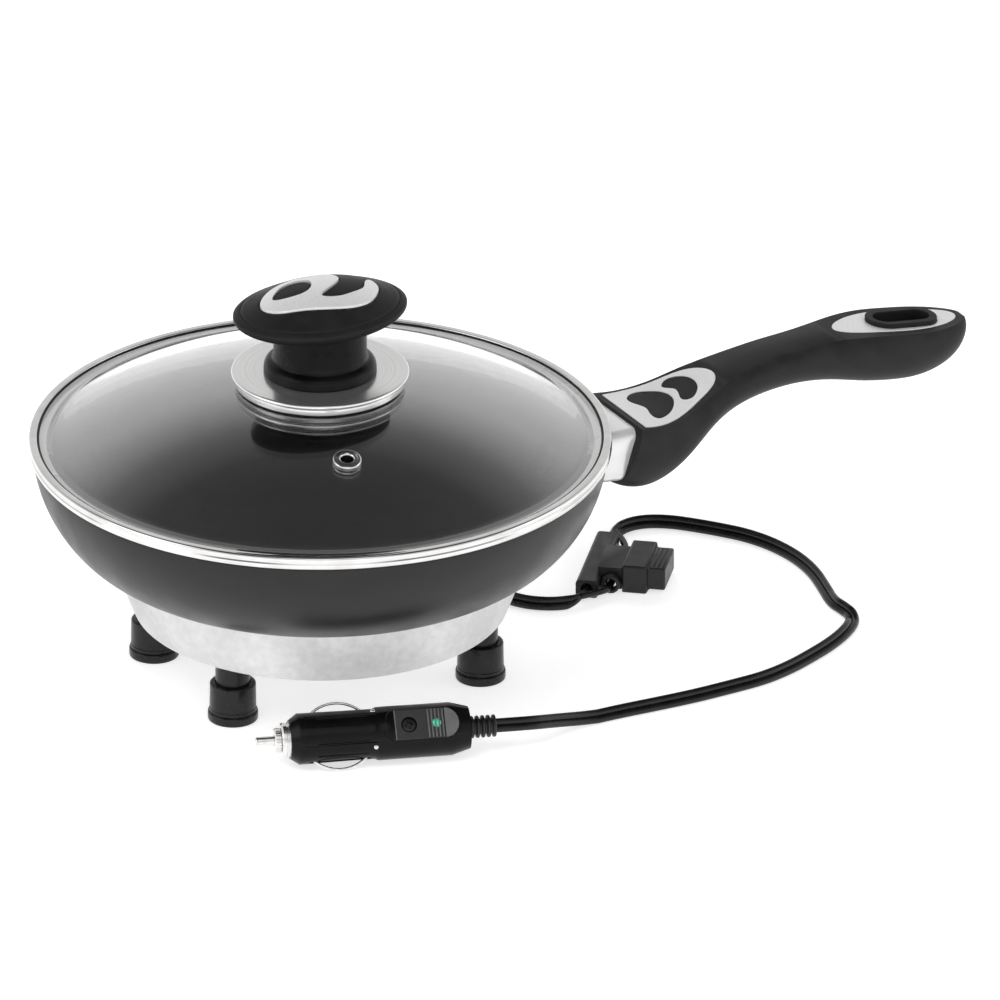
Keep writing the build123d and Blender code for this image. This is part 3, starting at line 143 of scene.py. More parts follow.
def place_mesh(piece, matrix):
    """Moves the mesh, not its object."""
    piece.data.transform(matrix)
    piece.data.update()
    return piece


def moved(x, y, z):
    """A shift in millimetres."""
    return Matrix.Translation((x * mm, y * mm, z * mm))


def turned(angle, axis):
    """A turn in degrees about an axis."""
    return Matrix.Rotation(radians(angle), 4, axis)


def evaluated_mesh(thing):
    """The mesh that a curve or a piece with modifiers comes to."""
    bpy.context.view_layer.update()
    graph = bpy.context.evaluated_depsgraph_get()
    return bpy.data.meshes.new_from_object(thing.evaluated_get(graph))


def lathe(name, profile, steps=128):
    """Turns (radius, height) points about Z; a point at radius 0 closes the end."""
    closed = profile[0] == profile[-1]
    ring = profile[:-1] if closed else profile
    count = len(ring)
    links = count if closed else count - 1
    vertices, faces = [], []
    for step in range(steps):
        angle = 2 * pi * step / steps
        vertices += [(r * cos(angle), r * sin(angle), z) for r, z in ring]
        here, there = step * count, (step + 1) % steps * count
        for i in range(links):
            j = (i + 1) % count
            faces.append((here + i, there + i, there + j, here + j))
    return new_object(name, vertices, faces)


def tube_faces(rings, count):
    """The faces between rings of `count` points each, with the two ends closed."""
    faces = []
    for ring in range(rings - 1):
        here, there = ring * count, (ring + 1) * count
        for i in range(count):
            j = (i + 1) % count
            faces.append((here + i, here + j, there + j, there + i))
    last = range(rings * count - 1, (rings - 1) * count - 1, -1)
    return faces + [tuple(range(count)), tuple(last)]


def arc(centre, radius, first, last, steps):
    """Points of a circular arc in a profile; angles in degrees from the +radius side."""
    turn = [radians(first + (last - first) * i / steps) for i in range(steps + 1)]
    return [(centre[0] + radius * cos(a), centre[1] + radius * sin(a)) for a in turn]


def bezier(p0, p1, p2, p3, steps):
    """Points of a cubic curve in a profile."""
    points = []
    for i in range(steps + 1):
        t = i / steps
        a, b, c, d = (1 - t) ** 3, 3 * t * (1 - t) ** 2, 3 * t * t * (1 - t), t ** 3
        points.append(tuple(a * w + b * x + c * y + d * z for w, x, y, z in zip(p0, p1, p2, p3)))
    return points


def solid_copy(name, node):
    """A clean, smooth copy of a solid of the frame."""
    work = bmesh.new()
    work.from_mesh(nodes[node].data)
    mesh = bpy.data.meshes.new(name)
    bmesh.ops.remove_doubles(work, verts=work.verts, dist=2e-6)
    bmesh.ops.dissolve_degenerate(work, edges=work.edges, dist=1e-6)
    bmesh.ops.dissolve_limit(work, angle_limit=radians(1), verts=work.verts, edges=work.edges)
    work.to_mesh(mesh)
    work.free()
    return smooth(put(name, mesh))


def soften(piece, width, segments=2, angle=28):
    """Rounds the sharp edges of a moulded or cast piece; the width is in millimetres."""
    bevel = piece.modifiers.new("soft_edges", "BEVEL")
    bevel.width = width * mm
    bevel.segments = segments
    bevel.limit_method = "ANGLE"
    bevel.angle_limit = radians(angle)
    bevel.harden_normals = False
    return piece


def finished(piece, material, *stands_for, like=None, slot=None):
    """Gives a piece its finish, its body and the solids that it stands for.

    A piece that stands for no solid rides with the solid `like`."""
    piece.data.materials.clear()
    piece.data.materials.append(material)
    guide = like or stands_for[0]
    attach(piece, body_of_node[guide])
    if stands_for:
        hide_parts(*stands_for)
    return piece


def rounded_copy(name, node, material, width, segments=2, angle=28):
    """A copy of a solid with rounded edges and its finish."""
    return finished(soften(solid_copy(name, node), width, segments, angle), material, node)


def dressed(material, *node_names):
    """Gives solids of the frame a better finish and leaves their shape alone."""
    for node in node_names:
        nodes[node].data.materials.clear()
        nodes[node].data.materials.append(material)


# %% [markdown]
# ## How a finish is made
# A real surface is never one flat colour. Each finish starts from one shader and
# reads Object coordinates, so that its pattern stays on the piece. Noise mixes
# two close colours, moves the roughness a little and lifts a fine grain. What is
# the same all over is set on the shader's own sockets.

# %% Node helpers
finishes = {}


def feed(tree, node, **inputs):
    """Sets inputs by name: each takes a value or the socket that feeds it."""
    for name, value in inputs.items():
        socket = node.inputs[name.replace("_", " ")]
        if isinstance(value, bpy.types.NodeSocket):
            tree.links.new(value, socket)
        else:
            socket.default_value = value
    return node


def add(tree, kind, **inputs):
    """A new node with its inputs set by name."""
    return feed(tree, tree.nodes.new(kind), **inputs)


def wired(tree, kind, *sources):
    """A new node whose inputs are fed by sockets, in their order."""
    node = tree.nodes.new(kind)
    for socket, source in zip(node.inputs, sources):
        tree.links.new(source, socket)
    return node


def maths(tree, operation, *values):
    """One sum; each value is a number or a socket."""
    node = tree.nodes.new("ShaderNodeMath")
    node.operation = operation
    for socket, value in zip(node.inputs, values):
        if isinstance(value, (int, float)):
            socket.default_value = value
        else:
            tree.links.new(value, socket)
    return node.outputs["Value"]


def either(tree, factor, plain, other):
    """The plain shader where the factor is 0 and the other where it is 1."""
    return wired(tree, "ShaderNodeMixShader", factor, plain, other).outputs["Shader"]


# %% [markdown]
# Every finish is built from the same few parts: patches or specks of noise, a
# ramp that colours them, a range for the roughness and a bump for the grain.

# %% Finish helpers
def shader_of(name, **sockets):
    """A new material, its node tree, its shader and its object coordinates."""
    material = bpy.data.materials.new(name)
    material.use_nodes = True
    tree = material.node_tree
    shader = feed(tree, tree.nodes["Principled BSDF"], **sockets)
    finishes[name] = material
    return material, tree, shader, add(tree, "ShaderNodeTexCoord").outputs["Object"]


def noise(tree, place, size, detail=3.0):
    """Soft random patches about `size` millimetres across."""
    return add(tree, "ShaderNodeTexNoise", Scale=1.0 / (size * mm), Detail=detail,
               Vector=place).outputs["Fac"]


def specks(tree, place, size):
    """Small round specks about `size` millimetres apart, as a distance."""
    return add(tree, "ShaderNodeTexVoronoi", Scale=1.0 / (size * mm),
               Vector=place).outputs["Distance"]


def turning_marks(tree, place, size):
    """Fine rings about `size` millimetres wide round the Z axis."""
    split = add(tree, "ShaderNodeSeparateXYZ", Vector=place).outputs
    flat = add(tree, "ShaderNodeCombineXYZ", X=split["X"], Y=split["Y"])
    from_axis = wired(tree, "ShaderNodeVectorMath", flat.outputs["Vector"])
    from_axis.operation = "LENGTH"
    lines = tree.nodes.new("ShaderNodeTexNoise")
    lines.noise_dimensions = "1D"
    feed(tree, lines, Scale=1.0 / (size * mm), Detail=2.0, W=from_axis.outputs["Value"])
    return lines.outputs["Fac"]


def ramp(tree, factor, colours, stops=(0.35, 0.65)):
    """A colour ramp between two or more colours."""
    node = add(tree, "ShaderNodeValToRGB", Fac=factor)
    elements = node.color_ramp.elements
    elements[0].position, elements[1].position = stops[0], stops[-1]
    elements[0].color, elements[1].color = (*colours[0], 1), (*colours[-1], 1)
    for stop, colour in zip(stops[1:-1], colours[1:-1]):
        elements.new(stop).color = (*colour, 1)
    return node.outputs["Color"]


def between(tree, factor, low, high):
    """A factor spread over a range, as for roughness."""
    return add(tree, "ShaderNodeMapRange", From_Min=0.3, From_Max=0.7, To_Min=low, To_Max=high,
               Value=factor).outputs["Result"]


def lifted(tree, shader, *layers):
    """Bumps of (height, millimetres) on top of each other."""
    bump = None
    for height, rise in layers:
        below = {"Normal": bump.outputs["Normal"]} if bump else {}
        bump = add(tree, "ShaderNodeBump", Distance=rise * mm, Strength=1.0, Height=height,
                   **below)
    feed(tree, shader, Normal=bump.outputs["Normal"])


def grey(value, warm=0.0):
    return (value * (1 + warm), value, value * (1 - warm))


def mottled(name, colours, patch, roughness, grain, rise, stretch=None, **sockets):
    """Two close colours in soft patches, with a fine grain on top."""
    material, tree, shader, place = shader_of(name, **sockets)
    if stretch:
        place = add(tree, "ShaderNodeMapping", Scale=stretch, Vector=place).outputs["Vector"]
    patches = noise(tree, place, patch)
    feed(tree, shader, Base_Color=ramp(tree, patches, colours),
         Roughness=between(tree, patches, *roughness))
    lifted(tree, shader, (noise(tree, place, grain, 2.0), rise))
    return material


# %% [markdown]
# ## Plastics, rubber and paint
# Moulded plastic is nearly black, but its skin has a fine spark grain that turns
# hard highlights into soft ones. The plug is moulded in a polished tool, so its
# grain is shallow and its shine sharp. Rubber is duller.


# %% Black finishes
def moulded(name, dark, pale, patch, roughness, grain, rise, gloss=0.5):
    """A moulded skin between two greys."""
    return mottled(name, (grey(dark), grey(pale)), patch, roughness, grain, rise,
                   Specular_IOR_Level=gloss)


grip_black = moulded("grip_black", 0.017, 0.023, 9, (0.42, 0.52), 0.32, 0.010, 0.16)
knob_black = moulded("knob_black", 0.012, 0.016, 8, (0.44, 0.54), 0.30, 0.012, 0.14)
stem_black = moulded("stem_black", 0.003, 0.006, 8, (0.26, 0.34), 0.5, 0.003, 0.14)
plug_black = moulded("plug_black", 0.0025, 0.0045, 7, (0.14, 0.22), 0.6, 0.002, 0.17)
panel_grey = moulded("panel_grey", 0.090, 0.120, 4, (0.40, 0.50), 0.3, 0.006)
panel_dark = moulded("panel_dark", 0.016, 0.022, 4, (0.34, 0.44), 0.3, 0.006)
holder_black = moulded("holder_black", 0.011, 0.017, 5, (0.34, 0.46), 0.35, 0.008, 0.35)
relief_rubber = moulded("relief_rubber", 0.005, 0.009, 3, (0.36, 0.48), 0.3, 0.008)
foot_rubber = moulded("foot_rubber", 0.0025, 0.005, 4, (0.22, 0.32), 0.4, 0.006, 0.36)
lead_black = moulded("lead_black", 0.004, 0.007, 5, (0.22, 0.32), 0.5, 0.005, 0.36)
wire_insulation = moulded("wire_insulation", 0.03, 0.05, 3, (0.4, 0.5), 0.4, 0.006)

# %% [markdown]
# ## The pan's coating and the cast base
# The pan is sprayed with a charcoal non-stick coat: satin, with a faint mineral
# sparkle. The base is die-cast aluminium, tumbled and left bare, so it has soft
# grey patches and a fine pitted skin.

# %% Coating and casting
pan_coating, tree, shader, place = shader_of("pan_coating", Specular_IOR_Level=0.40)
patches = noise(tree, place, 14)
flake_share = add(tree, "ShaderNodeMapRange", From_Min=0.16, From_Max=0.06, To_Max=0.55,
                  Value=specks(tree, place, 0.7)).outputs["Result"]
flakes = tree.nodes.new("ShaderNodeMix")
flakes.data_type = "RGBA"
feed(tree, flakes, Factor=flake_share, A=ramp(tree, patches, (grey(0.0045), grey(0.0070))),
     B=(0.045, 0.045, 0.05, 1))
feed(tree, shader, Base_Color=flakes.outputs["Result"],
     Roughness=between(tree, patches, 0.30, 0.42))
lifted(tree, shader, (noise(tree, place, 0.5, 2.0), 0.010))

base_aluminium, tree, shader, place = shader_of("base_aluminium", Metallic=0.30)
clouds = noise(tree, place, 22, 4.0)
patches = noise(tree, place, 3.0, 5.0)
mixed = maths(tree, "MULTIPLY_ADD", clouds, 0.6, maths(tree, "MULTIPLY", patches, 0.4))
feed(tree, shader, Base_Color=ramp(tree, mixed, (grey(0.74), grey(0.90)), (0.38, 0.62)),
     Roughness=between(tree, patches, 0.42, 0.58))
lifted(tree, shader, (patches, 0.03), (noise(tree, place, 0.7, 2.0), 0.015))

# %% [markdown]
# ## Metals
# Polished steel is a mirror with very shallow buffing marks; screws and the
# underside's sheet are duller. Turned parts carry rings about their own axis.
# The inlays are foil with a fine sand-blasted sparkle.


# %% Metal finishes
def turned_steel(name, colours, warm, follows, patch, detail, roughness, ring, rise, metal):
    """Steel with turning marks; its colour follows the smears or the marks."""
    material, tree, shader, place = shader_of(name, Metallic=metal)
    smears = noise(tree, place, patch, detail)
    marks = turning_marks(tree, place, ring)
    pale = [grey(colour, warm) for colour in colours]
    feed(tree, shader, Base_Color=ramp(tree, smears if follows == "smears" else marks, pale),
         Roughness=between(tree, smears, *roughness))
    lifted(tree, shader, (marks, rise))
    return material


bright_steel = turned_steel("bright_steel", (0.70, 0.80), 0.01, "smears", 12, 3.0,
                            (0.06, 0.11), 0.6, 0.0005, 1.0)
satin_steel = turned_steel("satin_steel", (0.78, 0.88), 0.005, "marks", 25, 1.0,
                           (0.17, 0.22), 0.5, 0.0004, 0.90)
ferrule_steel = mottled("ferrule_steel", (grey(0.90), grey(0.96)), 5.0, (0.18, 0.26), 0.4, 0.002,
                        stretch=(0.05, 1, 1), Metallic=0.40)

# The lip's wall is in the glass's shade, so it is darker than its ledge.
lip_steel, tree, shader, place = shader_of("lip_steel", Metallic=0.35)
height = add(tree, "ShaderNodeSeparateXYZ", Vector=place).outputs["Z"]
on_ledge = add(tree, "ShaderNodeMapRange", From_Min=85.9 * mm, From_Max=86.2 * mm,
               Value=height).outputs["Result"]
smears = noise(tree, place, 40, 1.0)
feed(tree, shader, Base_Color=ramp(tree, on_ledge, (grey(0.60), grey(0.98)), (0.0, 1.0)),
     Roughness=between(tree, smears, 0.26, 0.32))
lifted(tree, shader, (turning_marks(tree, place, 0.6), 0.0005))

black_steel = mottled("black_steel", (grey(0.010), grey(0.020)), 2.0, (0.26, 0.36), 0.4, 0.004,
                      Metallic=0.3)
screw_steel = mottled("screw_steel", (grey(0.52), grey(0.66)), 2.0, (0.24, 0.36), 0.4, 0.004,
                      Metallic=1.0)
cover_steel = mottled("cover_steel", (grey(0.44), grey(0.56)), 6.0, (0.34, 0.46), 0.5, 0.006,
                      stretch=(1, 0.06, 1), Metallic=1.0)
contact_nickel = mottled("contact_brass", (grey(0.74, 0.01), grey(0.88, 0.02)), 1.5,
                         (0.16, 0.26), 0.4, 0.003, Metallic=1.0)

silver_inlay, tree, shader, place = shader_of("silver_inlay", Metallic=0.40)
sparkle = specks(tree, place, 0.35)
feed(tree, shader, Base_Color=ramp(tree, sparkle, (grey(0.92), grey(0.78)), (0.1, 0.7)),
     Roughness=between(tree, noise(tree, place, 16), 0.36, 0.46))
lifted(tree, shader, (sparkle, 0.006))

# %% [markdown]
# ## Inside the base
# Mica is a flaky golden sheet, the heater is a dull nickel-chrome ribbon, the
# terminal block is glazed white ceramic and the thermostat is a small tin case.

# %% Finishes inside the base
mica = mottled("mica", ((0.42, 0.30, 0.14), (0.60, 0.46, 0.24)), 2.5, (0.25, 0.45), 0.6, 0.02,
               stretch=(1, 1, 8))
heater_ribbon = mottled("heater_ribbon", (grey(0.22, 0.08), grey(0.34, 0.06)), 3, (0.4, 0.55),
                        0.3, 0.004, Metallic=1.0)
thermostat_case = mottled("thermostat_case", (grey(0.50), grey(0.62)), 3, (0.25, 0.38), 0.4,
                          0.004, Metallic=1.0)
terminal_ceramic = mottled("terminal_ceramic", ((0.78, 0.76, 0.71), (0.86, 0.85, 0.81)), 4,
                           (0.18, 0.30), 0.8, 0.01)

# %% [markdown]
# ## Glass, lamp and fuse
# Clear glass bends what lies behind it. For the shadow it is a clear pane, so
# that the pan below gets light through the lid. The small lamp is green acrylic
# with a weak glow, and the blade fuse is tinted amber.


# %% Clear finishes
def clear(name, tint, roughness, shade, **sockets):
    """A transparent body that lets light through for shadows."""
    material, tree, shader, place = shader_of(name, Roughness=roughness, **sockets)
    colours = tuple(c * 0.985 for c in tint), tint
    feed(tree, shader, Base_Color=ramp(tree, noise(tree, place, 30), colours),
         Transmission_Weight=1.0)
    pane = add(tree, "ShaderNodeBsdfTransparent", Color=(*shade, 1)).outputs["BSDF"]
    in_shadow = add(tree, "ShaderNodeLightPath").outputs["Is Shadow Ray"]
    feed(tree, tree.nodes["Material Output"],
         Surface=either(tree, in_shadow, shader.outputs["BSDF"], pane))
    return material


lid_glass = clear("lid_glass", (0.93, 0.935, 0.93), 0.015, (0.93, 0.93, 0.93), IOR=1.50,
                  Specular_IOR_Level=0.60, Coat_Weight=1.0, Coat_IOR=2.4)
fuse_amber = clear("blade_fuse_amber", (0.95, 0.50, 0.08), 0.08, (0.9, 0.5, 0.15), IOR=1.49)
fuse_glass = clear("fuse_glass", (0.96, 0.97, 0.96), 0.03, (0.92, 0.92, 0.92), IOR=1.50)

led_green, tree, shader, place = shader_of("led_green", Roughness=0.18, IOR=1.49)
lens = ramp(tree, noise(tree, place, 1.2), ((0.02, 0.30, 0.16), (0.06, 0.50, 0.30)))
feed(tree, shader, Base_Color=lens, Emission_Color=lens, Emission_Strength=0.35)
print(len(finishes), "finishes")

# %% [markdown]
# ## The lead
# The lead is a flat twin cable, 5.3 mm wide and 2.8 mm thick: two round conductors
# side by side with a groove between them. It comes out of the base, drops to the
# table, passes through the fuse holder and runs round to the plug. A smooth
# spline holds the route; the twin section is then swept along the points read
# from it. Near the holder the two conductors part: one goes through the sleeve
# and the other goes round it, so the twin narrows to a single core there.

# %% Cord helpers
core_radius = 1.38
core_half_spacing = 1.27
single_core_radius = 1.3
split_length = 9.0
section_steps = 14
table_gap = 0.15
holder_place, holder_angle = (125.7, 13.4), -40
plug_place, plug_angle, plug_roll = (-68.2, -71.8, 10.55), -20.4, 49
broad_face = Vector((-0.44, -0.79, 0.42))


def read_route(name, points):
    """The points along one smooth spline with the given control points."""
    curve = bpy.data.curves.new(name, "CURVE")
    curve.dimensions = "3D"
    curve.resolution_u = 10
    spline = curve.splines.new("NURBS")
    spline.points.add(len(points) - 1)
    for point, place in zip(spline.points, points):
        point.co = (*[c * mm for c in place], 1.0)
    spline.order_u = 3
    spline.use_endpoint_u = True
    mesh = evaluated_mesh(put(name, curve))
    path = [vertex.co.copy() for vertex in mesh.vertices]
    bpy.data.meshes.remove(mesh)
    bpy.data.curves.remove(curve)
    return path


def walked(path):
    """The length walked to each point of a path, in millimetres."""
    lengths = [0.0]
    for a, b in zip(path, path[1:]):
        lengths.append(lengths[-1] + (b - a).length / mm)
    return lengths


def width_axis(path, i):
    """Where the twin's width points: its broad face leans back and shows to the front."""
    ahead = path[min(i + 1, len(path) - 1)] - path[max(i - 1, 0)]
    along = ahead.normalized()
    return along, along.cross(broad_face).normalized()


def laid_down(path, share_at):
    """Lifts the points where the cable stands on its edge, so that it rests on the table."""
    lengths = walked(path)
    laid = []
    for i, place in enumerate(path):
        side = width_axis(path, i)[1]
        share = share_at(lengths[i], lengths[-1] - lengths[i])
        rest = core_radius + core_half_spacing * share * abs(side.z) + table_gap
        laid.append(Vector((place.x, place.y, max(place.z, rest * mm))))
    return laid


def sweep_lead(name, path, section_at):
    """The cable's skin along its path."""
    vertices = []
    lengths = walked(path)
    for i, place in enumerate(path):
        along, side = width_axis(path, i)
        up = side.cross(along).normalized()
        for x, y in section_at(lengths[i], lengths[-1] - lengths[i]):
            vertices.append((place + side * x * mm + up * y * mm) / mm)
    return new_object(name, vertices, tube_faces(len(path), len(vertices) // len(path)))


def eased(share):
    """0 to 1 with a soft start and end."""
    share = min(1.0, max(0.0, share))
    return share * share * (3 - 2 * share)


def polar(radius, angle, height):
    return (radius * cos(radians(angle)), radius * sin(radians(angle)), height)


def on_holder(x, y, z):
    """A point of the fuse holder: X along the fuse, Y along the sleeve."""
    turn = radians(holder_angle)
    across, along = holder_place
    return (across + x * cos(turn) - y * sin(turn), along + x * sin(turn) + y * cos(turn), z)


def on_plug(x):
    """A point on the plug's axis, from its tip."""
    turn = radians(plug_angle)
    across, along, height = plug_place
    return (across + x * cos(turn), along + x * sin(turn), height)


# %% [markdown]
# The control points of the three stretches follow the cable's bends on the
# table. The section is worked out anew at each point, so the twin can narrow to
# a single core as it nears the holder.

# %% The three routes
inner_route = [
    polar(73.91, 60, 30.0), polar(83.91, 60, 29.5), (50, 83.5, 24.5), (59.5, 87, 13.5),
    (69.5, 81.5, 4.6), (77.5, 69.5, 1.7), (82.5, 55, 1.7), (84, 39, 1.7), (82.6, 23, 1.7),
    (82.4, 9, 1.7), (87.2, -1.6, 1.7), on_holder(-7.2, -35, 2.4), on_holder(0, -28, 3.5),
    on_holder(0, -18, 3.5),
]
main_route = [
    on_holder(0, 18, 3.5), on_holder(0, 27.5, 3.5), (151.6, 39.6, 2.1), (160, 39.8, 1.7),
    (168.6, 34.8, 1.7), (175.8, 26.7, 1.7), (182.3, 18.2, 1.7), (188.1, 9.5, 1.7),
    (192.5, -2, 1.7), (194.7, -16, 1.7), (193.8, -30.5, 1.7), (190.2, -44.5, 1.7),
    (186.8, -56.5, 1.7), (187.4, -64, 1.7), (187.2, -70.5, 1.7), (182.6, -77, 1.7),
    (174.8, -83.4, 1.7), (165.6, -88.9, 1.7), (154.6, -94.0, 1.7), (143.2, -98.6, 1.7),
    (130.6, -101.8, 1.7), (116.6, -102.3, 1.7), (101.6, -102.6, 1.7), (86.4, -101.8, 1.7),
    (71, -100.6, 1.9), (56.5, -100.2, 3.0), (42.2, -102.8, 6.4), on_plug(102.1),
    on_plug(90.1),
]
bypass_route = [
    on_holder(-1.2, -28.5, 3.5), on_holder(6.6, -22.2, 3.3), on_holder(8, -17.8, 3.1),
    on_holder(8, 9, 3.1), on_holder(7.4, 21.4, 3.1), on_holder(0.95, 30.6, 3.1),
]


def twin(share):
    """Two touching circles as one outline: 1 is the full twin, 0 is a single core."""
    radius = single_core_radius + (core_radius - single_core_radius) * share
    half_spacing = core_half_spacing * share
    meeting = pi - acos(half_spacing / radius)
    outline = []
    for side, middle in ((1, 0.0), (-1, pi)):
        for i in range(section_steps):
            angle = middle - meeting + 2 * meeting * i / (section_steps - 1)
            outline.append((side * half_spacing + radius * cos(angle), radius * sin(angle)))
    return outline


def inner_share(from_start, to_end):
    return max(0.001, eased((to_end - split_length) / split_length))


def main_share(from_start, to_end):
    return max(0.001, eased((from_start - split_length) / split_length))


def single_core(from_start, to_end):
    turn = [2 * pi * i / 16 for i in range(16)]
    return [(single_core_radius * cos(a), single_core_radius * sin(a)) for a in turn]


inner_path = laid_down(read_route("inner_line", inner_route), inner_share)
main_path = laid_down(read_route("main_line", main_route), main_share)
bypass_path = read_route("bypass_line", bypass_route)
lead_inner = sweep_lead("lead_inner", inner_path, lambda a, b: twin(inner_share(a, b)))
lead_main = sweep_lead("lead_main", main_path, lambda a, b: twin(main_share(a, b)))
lead_bypass = sweep_lead("lead_bypass", bypass_path, single_core)
finished(lead_inner, lead_black, "cord_inner")
finished(lead_main, lead_black, "cord_main")
finished(lead_bypass, lead_black, "bypass_lead")
for label, path in (("inner", inner_path), ("main", main_path), ("bypass", bypass_path)):
    print(label, "lead", round(walked(path)[-1], 1), "mm")

# %% [markdown]
# ## The pan's bowl
# A pressed or cast bowl is one wall turned about an axis. Its profile is drawn as
# a line in the X-Z plane; a Geometry Nodes tree lays a grid round the axis, with
# one row of the grid for each profile point, and closes the seam. Any bowl, dish
# or lid of the object could be made by feeding another profile to the same tree.


# %% Helpers for Geometry Nodes
def new_tree(name, **inputs):
    """A tree with named inputs, each of its kind; gives the tree and its inputs."""
    tree = bpy.data.node_groups.new(name, "GeometryNodeTree")
    for label, kind in inputs.items():
        tree.interface.new_socket(label, in_out="INPUT", socket_type="NodeSocket" + kind)
    tree.interface.new_socket("Geometry", in_out="OUTPUT", socket_type="NodeSocketGeometry")
    return tree, tree.nodes.new("NodeGroupInput").outputs


def end_tree(tree, geometry, finish):
    """Makes the copies real, gives them their finish and closes the tree."""
    real = add(tree, "GeometryNodeRealizeInstances", Geometry=geometry)
    dress = add(tree, "GeometryNodeSetMaterial", Geometry=real.outputs["Geometry"],
                Material=finish)
    add(tree, "NodeGroupOutput", Geometry=dress.outputs["Geometry"])
    return tree


def run_tree(carrier, tree, name, **inputs):
    """Runs a tree on a carrier and keeps the result as a plain mesh object."""
    modifier = carrier.modifiers.new("tree", "NODES")
    modifier.node_group = tree
    for item in tree.interface.items_tree:
        if item.in_out == "INPUT" and item.name in inputs:
            modifier[item.identifier] = inputs[item.name]
    mesh = evaluated_mesh(carrier)
    mesh.name = name
    bpy.data.meshes.remove(carrier.data)
    return clean(put(name, mesh))


def drawn_line(name, points):
    """A carrier that holds points in millimetres and nothing else."""
    mesh = bpy.data.meshes.new(name)
    mesh.from_pydata([[c * mm for c in point] for point in points], [], [])
    return put(name, mesh)


# %% [markdown]
# The turning tree reads each profile point by its index. The grid's X becomes
# the angle and its Y becomes the row, so that a flat grid bends into a wall.

# %% A turning tree
def turning_tree():
    """Turns the carrier's own points about Z; inputs: Steps and Finish."""
    tree, given = new_tree("turned_wall", Profile="Geometry", Steps="Int", Finish="Material")
    count = add(tree, "GeometryNodeAttributeDomainSize",
                Geometry=given["Profile"]).outputs["Point Count"]
    grid = add(tree, "GeometryNodeMeshGrid", Size_X=1.0, Size_Y=1.0, Vertices_X=given["Steps"],
               Vertices_Y=count)
    where = tree.nodes.new("GeometryNodeInputPosition").outputs["Position"]
    on_grid = add(tree, "ShaderNodeSeparateXYZ", Vector=where).outputs
    last = maths(tree, "SUBTRACT", count, 1)
    share = maths(tree, "ADD", on_grid["Y"], 0.5)
    row = maths(tree, "ROUND", maths(tree, "MULTIPLY", share, last))
    angle = maths(tree, "MULTIPLY", maths(tree, "ADD", on_grid["X"], 0.5), 2 * pi)
    sample = tree.nodes.new("GeometryNodeSampleIndex")
    sample.data_type = "FLOAT_VECTOR"
    feed(tree, sample, Geometry=given["Profile"], Value=where, Index=row)
    drawn = add(tree, "ShaderNodeSeparateXYZ", Vector=sample.outputs["Value"]).outputs
    across = maths(tree, "MULTIPLY", drawn["X"], maths(tree, "COSINE", angle))
    deep = maths(tree, "MULTIPLY", drawn["X"], maths(tree, "SINE", angle))
    placed = add(tree, "ShaderNodeCombineXYZ", X=across, Y=deep, Z=drawn["Z"])
    move = add(tree, "GeometryNodeSetPosition", Geometry=grid.outputs["Mesh"],
               Position=placed.outputs["Vector"])
    merge = add(tree, "GeometryNodeMergeByDistance", Distance=1e-6,
                Geometry=move.outputs["Geometry"])
    return end_tree(tree, merge.outputs["Geometry"], given["Finish"])


# %% [markdown]
# The bowl's outside and inside are two cubic curves that meet in a rounded rim.
# They are steep at the rim and flat at the foot, as in a pressed pan.

# %% The bowl
pan_foot, pan_rim, pan_low, pan_top = 75.2, 106.3, 44.0, 85.6
wall, floor_height, rim_round = 2.6, 47.0, 1.0
pan_inside = pan_rim - wall
bowl_profile = [(0, pan_low), (40, pan_low)]
bowl_profile += bezier((pan_foot, pan_low), (97.7, 49.8), (pan_rim, 73.6),
                       (pan_rim, pan_top - rim_round), 44)
bowl_profile += arc((pan_rim - rim_round, pan_top - rim_round), rim_round, 0, 90, 5)[1:]
bowl_profile += arc((pan_inside + rim_round, pan_top - rim_round), rim_round, 90, 180, 5)
bowl_profile += bezier((pan_inside, pan_top - 1.2), (pan_inside, 73.6), (95.1, 52.2),
                       (73.9, floor_height), 44)[1:]
bowl_profile += [(60, floor_height), (30, floor_height), (0, floor_height)]
carrier = drawn_line("bowl_profile", [(r, 0, z) for r, z in bowl_profile])
pan_bowl = run_tree(carrier, turning_tree(), "pan_bowl", Steps=193, Finish=pan_coating)
finished(pan_bowl, pan_coating, "pan")
print("pan bowl", len(pan_bowl.data.polygons), "faces")

# %% [markdown]
# ## The heated base
# The base is one casting: a shallow dish that narrows to a waist and flares to
# the pan's foot, with three screw pillars inside. Its solid is right inside, so
# a clean copy of it gets small rounded edges, as a tumbled casting has.

# %% The base and the parts under it
rounded_copy("base_casting", "heater_base", base_aluminium, 0.35)
rounded_copy("bottom_plate", "bottom_cover", cover_steel, 0.25)
dressed(screw_steel, "clamp_nut", "thermostat_screws", "knob_screw")
dressed(cover_steel, "pan_studs", "clamp_plate")
dressed(mica, "mica_sheets")
dressed(heater_ribbon, "heating_element")
dressed(terminal_ceramic, "terminal_block")
dressed(wire_insulation, "inner_leads")
dressed(thermostat_case, "thermostat")

# %% [markdown]
# ## Rubber feet
# Each foot is a rubber boot with a collar at its foot, pushed over a post. The
# boot is turned once from its profile, and Geometry Nodes copies it to the four
# points of a carrier; its inputs are the boot, its size and its finish.


